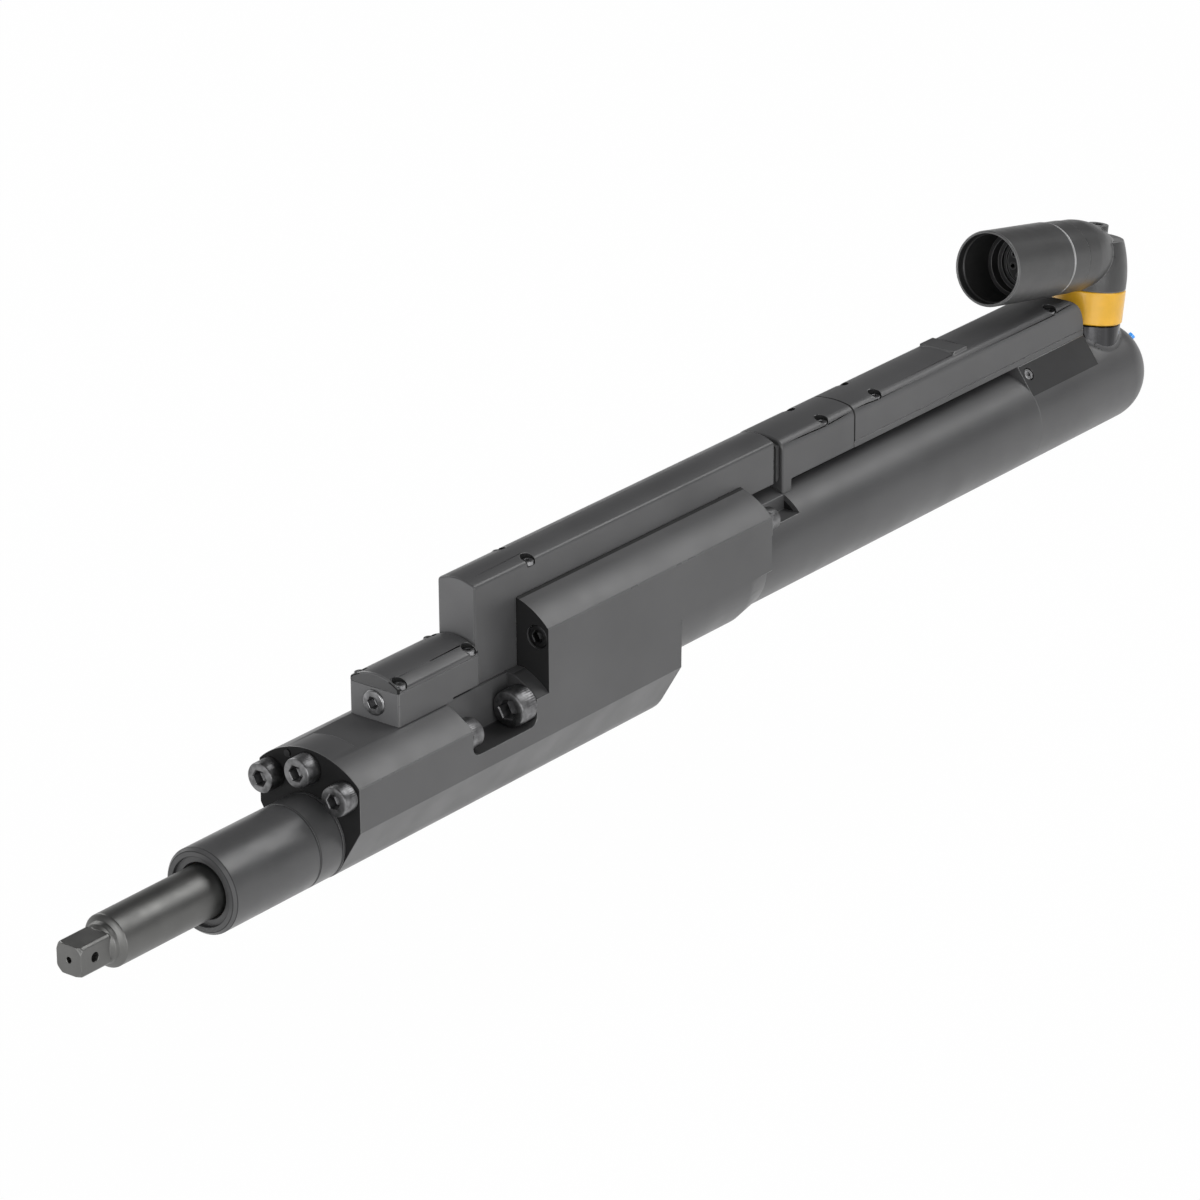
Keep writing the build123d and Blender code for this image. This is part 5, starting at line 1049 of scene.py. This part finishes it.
class NUTRUNNER_OT_cap_screws(bpy.types.Operator):
    """Socket head cap screws of the flange, the housings and the motor"""
    bl_idname = "nutrunner.cap_screws"
    bl_label = "Cap screws"

    def execute(self, context):
        turns = [math.radians(90 + k * FLANGE_SCREW_STEP) for k in (-1, 0, 1)]
        ring = [(FLANGE_SCREW_REACH * math.cos(turn), FLANGE_SCREW_REACH * math.sin(turn)) for turn in turns]
        cap_screws("flange_screws", "M8", 16.0, [((0, y, z), AHEAD) for y, z in ring])
        cap_screws("rear_flange_screws", "M8", 30.0, [((HEAD_REAR, y, z), BACK) for y, z in ring[::2]])
        for node, size, shank, x, y, z, way, coat in PAIRED_SCREWS:
            cap_screws(node, size, shank, [((x, side * y, z), way) for side in (-1, 1)], coat)
        return {"FINISHED"}


class NUTRUNNER_OT_transducer(bpy.types.Operator):
    """Transducer block with its lid and plug"""
    bl_idname = "nutrunner.transducer"
    bl_label = "Transducer block"

    def execute(self, context):
        # The block's front faces take a painted light, and the lid's screw pockets painted shade
        machined("transducer_block", "anodised_body", "anodised_edge_wear_and_highlight", BLOCK_EDGE,
                 inlays=(("painted_light_face", faces_front),))
        machined("block_lid", "anodised_body", "anodised_edge_wear_and_highlight", LID_EDGE,
                 inlays=(("shaded_face", in_scallop),))
        machined("block_plug", "light_screw", width=FINE_EDGE)
        return {"FINISHED"}


class NUTRUNNER_OT_channel(bpy.types.Operator):
    """Cable channel and the rubber duct behind it"""
    bl_idname = "nutrunner.channel"
    bl_label = "Cable channel"

    def execute(self, context):
        # The channel's front faces take a painted light, and its screw pockets painted shade
        machined("cable_channel", "anodised_body", "anodised_edge_wear_and_highlight", COVER_EDGE,
                 inlays=(("painted_light_face", faces_front), ("shaded_face", in_scallop)))
        machined("channel_duct", "black_rubber", width=FINE_EDGE)
        return {"FINISHED"}


class NUTRUNNER_OT_motor(bpy.types.Operator):
    """Motor flange, tube and the rail on it"""
    bl_idname = "nutrunner.motor"
    bl_label = "Motor tube"

    def execute(self, context):
        # The flange's front faces take painted shade
        machined("motor_flange", "anodised_body", "anodised_edge_wear_and_highlight", FINE_EDGE, (MOTOR_FRONT, TUBE_FRONT),
                 inlays=(("shaded_face", faces_front),))
        machined("motor_tube", "anodised_body", width=0)
        # The rail is all painted shade, so the gap under the covers reads dark
        machined("cover_rail", "shaded_face", width=0)
        return {"FINISHED"}


class NUTRUNNER_OT_covers(bpy.types.Operator):
    """Covers over the motor's electronics"""
    bl_idname = "nutrunner.covers"
    bl_label = "Motor covers"

    def execute(self, context):
        # The screw pockets take painted shade; the split is a dark joint
        for node in ("cover_front", "motor_cover"):
            machined(node, "anodised_body", "anodised_edge_wear_and_highlight", COVER_EDGE,
                     inlays=(("black_seam", at_split), ("shaded_face", in_scallop)))
        # The base's undersides take painted shade
        machined("cover_base", "anodised_body", "anodised_edge_wear_and_highlight", FINE_EDGE,
                 inlays=(("shaded_face", faces_down),))
        return {"FINISHED"}


class NUTRUNNER_OT_small_screws(bpy.types.Operator):
    """Small screws of the lid, the channel, the covers and the rear housing"""
    bl_idname = "nutrunner.small_screws"
    bl_label = "Small screws"

    def execute(self, context):
        lid = [((x, side * y, z), UPRIGHT) for x, y, z in LID_SCREWS for side in (-1, 1)]
        cap_screws("lid_screws", "M3", 7.0, lid, "light_screw", 0)
        crown = [((x, middle + side * y, z), UPRIGHT) for x, middle, y, z in CROWN_SCREWS for side in (-1, 1)]
        cap_screws("cover_screws", "M3", 7.0, crown, "light_screw", 0)
        machined("rear_screws", "light_screw", width=0)
        return {"FINISHED"}


class NUTRUNNER_OT_rear_housing(bpy.types.Operator):
    """Domed rear housing and its status lens"""
    bl_idname = "nutrunner.rear_housing"
    bl_label = "Rear housing"

    def execute(self, context):
        # The facets take painted shade at half strength, and the pockets round their screws full painted
        # shade
        machined("rear_housing", "anodised_body", "anodised_edge_wear_and_highlight", FINE_EDGE,
                 inlays=(("half_shaded_face", on_facet), ("shaded_face", in_facet_pocket)))
        machined("status_lens", "status_glow", width=FINE_EDGE)
        return {"FINISHED"}


class NUTRUNNER_OT_connector(bpy.types.Operator):
    """Swivel connector: neck, band, elbow, barrel and contacts"""
    bl_idname = "nutrunner.connector"
    bl_label = "Swivel connector"

    def execute(self, context):
        machined("connector_neck", "plain_neck", width=FINE_EDGE)
        machined("colour_band", "moulded_yellow", width=FINE_EDGE)
        machined("connector_elbow", "connector_coat", "connector_edge_highlight", FINE_EDGE,
                 inlays=(("black_seam", past_elbow_seam),))
        machined("coupling_ring", "connector_coat", "connector_edge_highlight", FINE_EDGE,
                 inlays=(("black_seam", before_ring_seam), ("painted_highlight_chamfer", at_ring_chamfer)))
        machined("connector_barrel", "connector_coat", "connector_edge_highlight", FINE_EDGE,
                 inlays=(("shaded_bore", in_bore),))
        machined("insert_ring", "insert_plastic", "plastic_wear_and_highlight", FINE_EDGE)
        machined("contact_insert", "insert_plastic", "plastic_wear_and_highlight", FINE_EDGE)
        machined("contact_sockets", "dark_contact", "plastic_wear_and_highlight", FINE_EDGE)
        return {"FINISHED"}


class NUTRUNNER_OT_inner_works(bpy.types.Operator):
    """Finishes of the gears, shafts, bearings, motor and boards inside"""
    bl_idname = "nutrunner.inner_works"
    bl_label = "Inner works"

    def execute(self, context):
        finishes = {
            "ground_steel": ("drive_shaft", "output_gear", "gear_circlips", "output_bearings",
                             "pinion_bearings", "pinion", "planet_pins", "planet_gear_1", "planet_gear_2",
                             "planet_gear_3", "ring_gear", "rotor", "motor_bearings", "end_shield",
                             "resolver_rotor"),
            "laminated_steel": ("stator",),
            "copper_winding": ("windings", "resolver", "torque_coil"),
            "magnet_plate": ("rotor_magnets",),
            "circuit_board": ("signal_board", "drive_board"),
        }
        for material, nodes in finishes.items():
            for node in nodes:
                dress(node, material)
        coiled_spring()
        return {"FINISHED"}


class NUTRUNNER_OT_stage(bpy.types.Operator):
    """Pale studio floor, soft lights and the camera"""
    bl_idname = "nutrunner.stage"
    bl_label = "Studio stage"

    def execute(self, context):
        studio_floor()
        studio_world()
        for row in LAMPS:
            lamp(*row)
        studio_camera()
        return {"FINISHED"}


class NUTRUNNER_PT_panel(bpy.types.Panel):
    bl_label = "Fixtured nutrunner"
    bl_idname = "NUTRUNNER_PT_panel"
    bl_space_type = "VIEW_3D"
    bl_region_type = "UI"
    bl_category = "Nutrunner"

    def draw(self, context):
        layout = self.layout
        for group in (context.scene.nutrunner_sizes, context.scene.nutrunner_colours):
            box = layout.box()
            for name in group.bl_rna.properties.keys():
                if name not in ("rna_type", "name"):
                    box.prop(group, name)
        column = layout.column()
        for step in STEPS:
            column.operator("nutrunner." + step)


STEPS = ("spindle", "guide_sleeve", "housings", "cap_screws", "transducer", "channel", "motor", "covers",
         "small_screws", "rear_housing", "connector", "inner_works", "stage")
CLASSES = (NutrunnerSizes, NutrunnerColours, NUTRUNNER_OT_spindle, NUTRUNNER_OT_guide_sleeve,
           NUTRUNNER_OT_housings, NUTRUNNER_OT_cap_screws, NUTRUNNER_OT_transducer, NUTRUNNER_OT_channel,
           NUTRUNNER_OT_motor, NUTRUNNER_OT_covers, NUTRUNNER_OT_small_screws, NUTRUNNER_OT_rear_housing,
           NUTRUNNER_OT_connector, NUTRUNNER_OT_inner_works, NUTRUNNER_OT_stage, NUTRUNNER_PT_panel)


def register():
    for entry in CLASSES:
        bpy.utils.register_class(entry)
    bpy.types.Scene.nutrunner_sizes = bpy.props.PointerProperty(type=NutrunnerSizes)
    bpy.types.Scene.nutrunner_colours = bpy.props.PointerProperty(type=NutrunnerColours)


def unregister():
    del bpy.types.Scene.nutrunner_sizes
    del bpy.types.Scene.nutrunner_colours
    for entry in reversed(CLASSES):
        bpy.utils.unregister_class(entry)


def main():
    register()
    for step in STEPS:
        getattr(bpy.ops.nutrunner, step)()


if __name__ == "__main__":
    main()
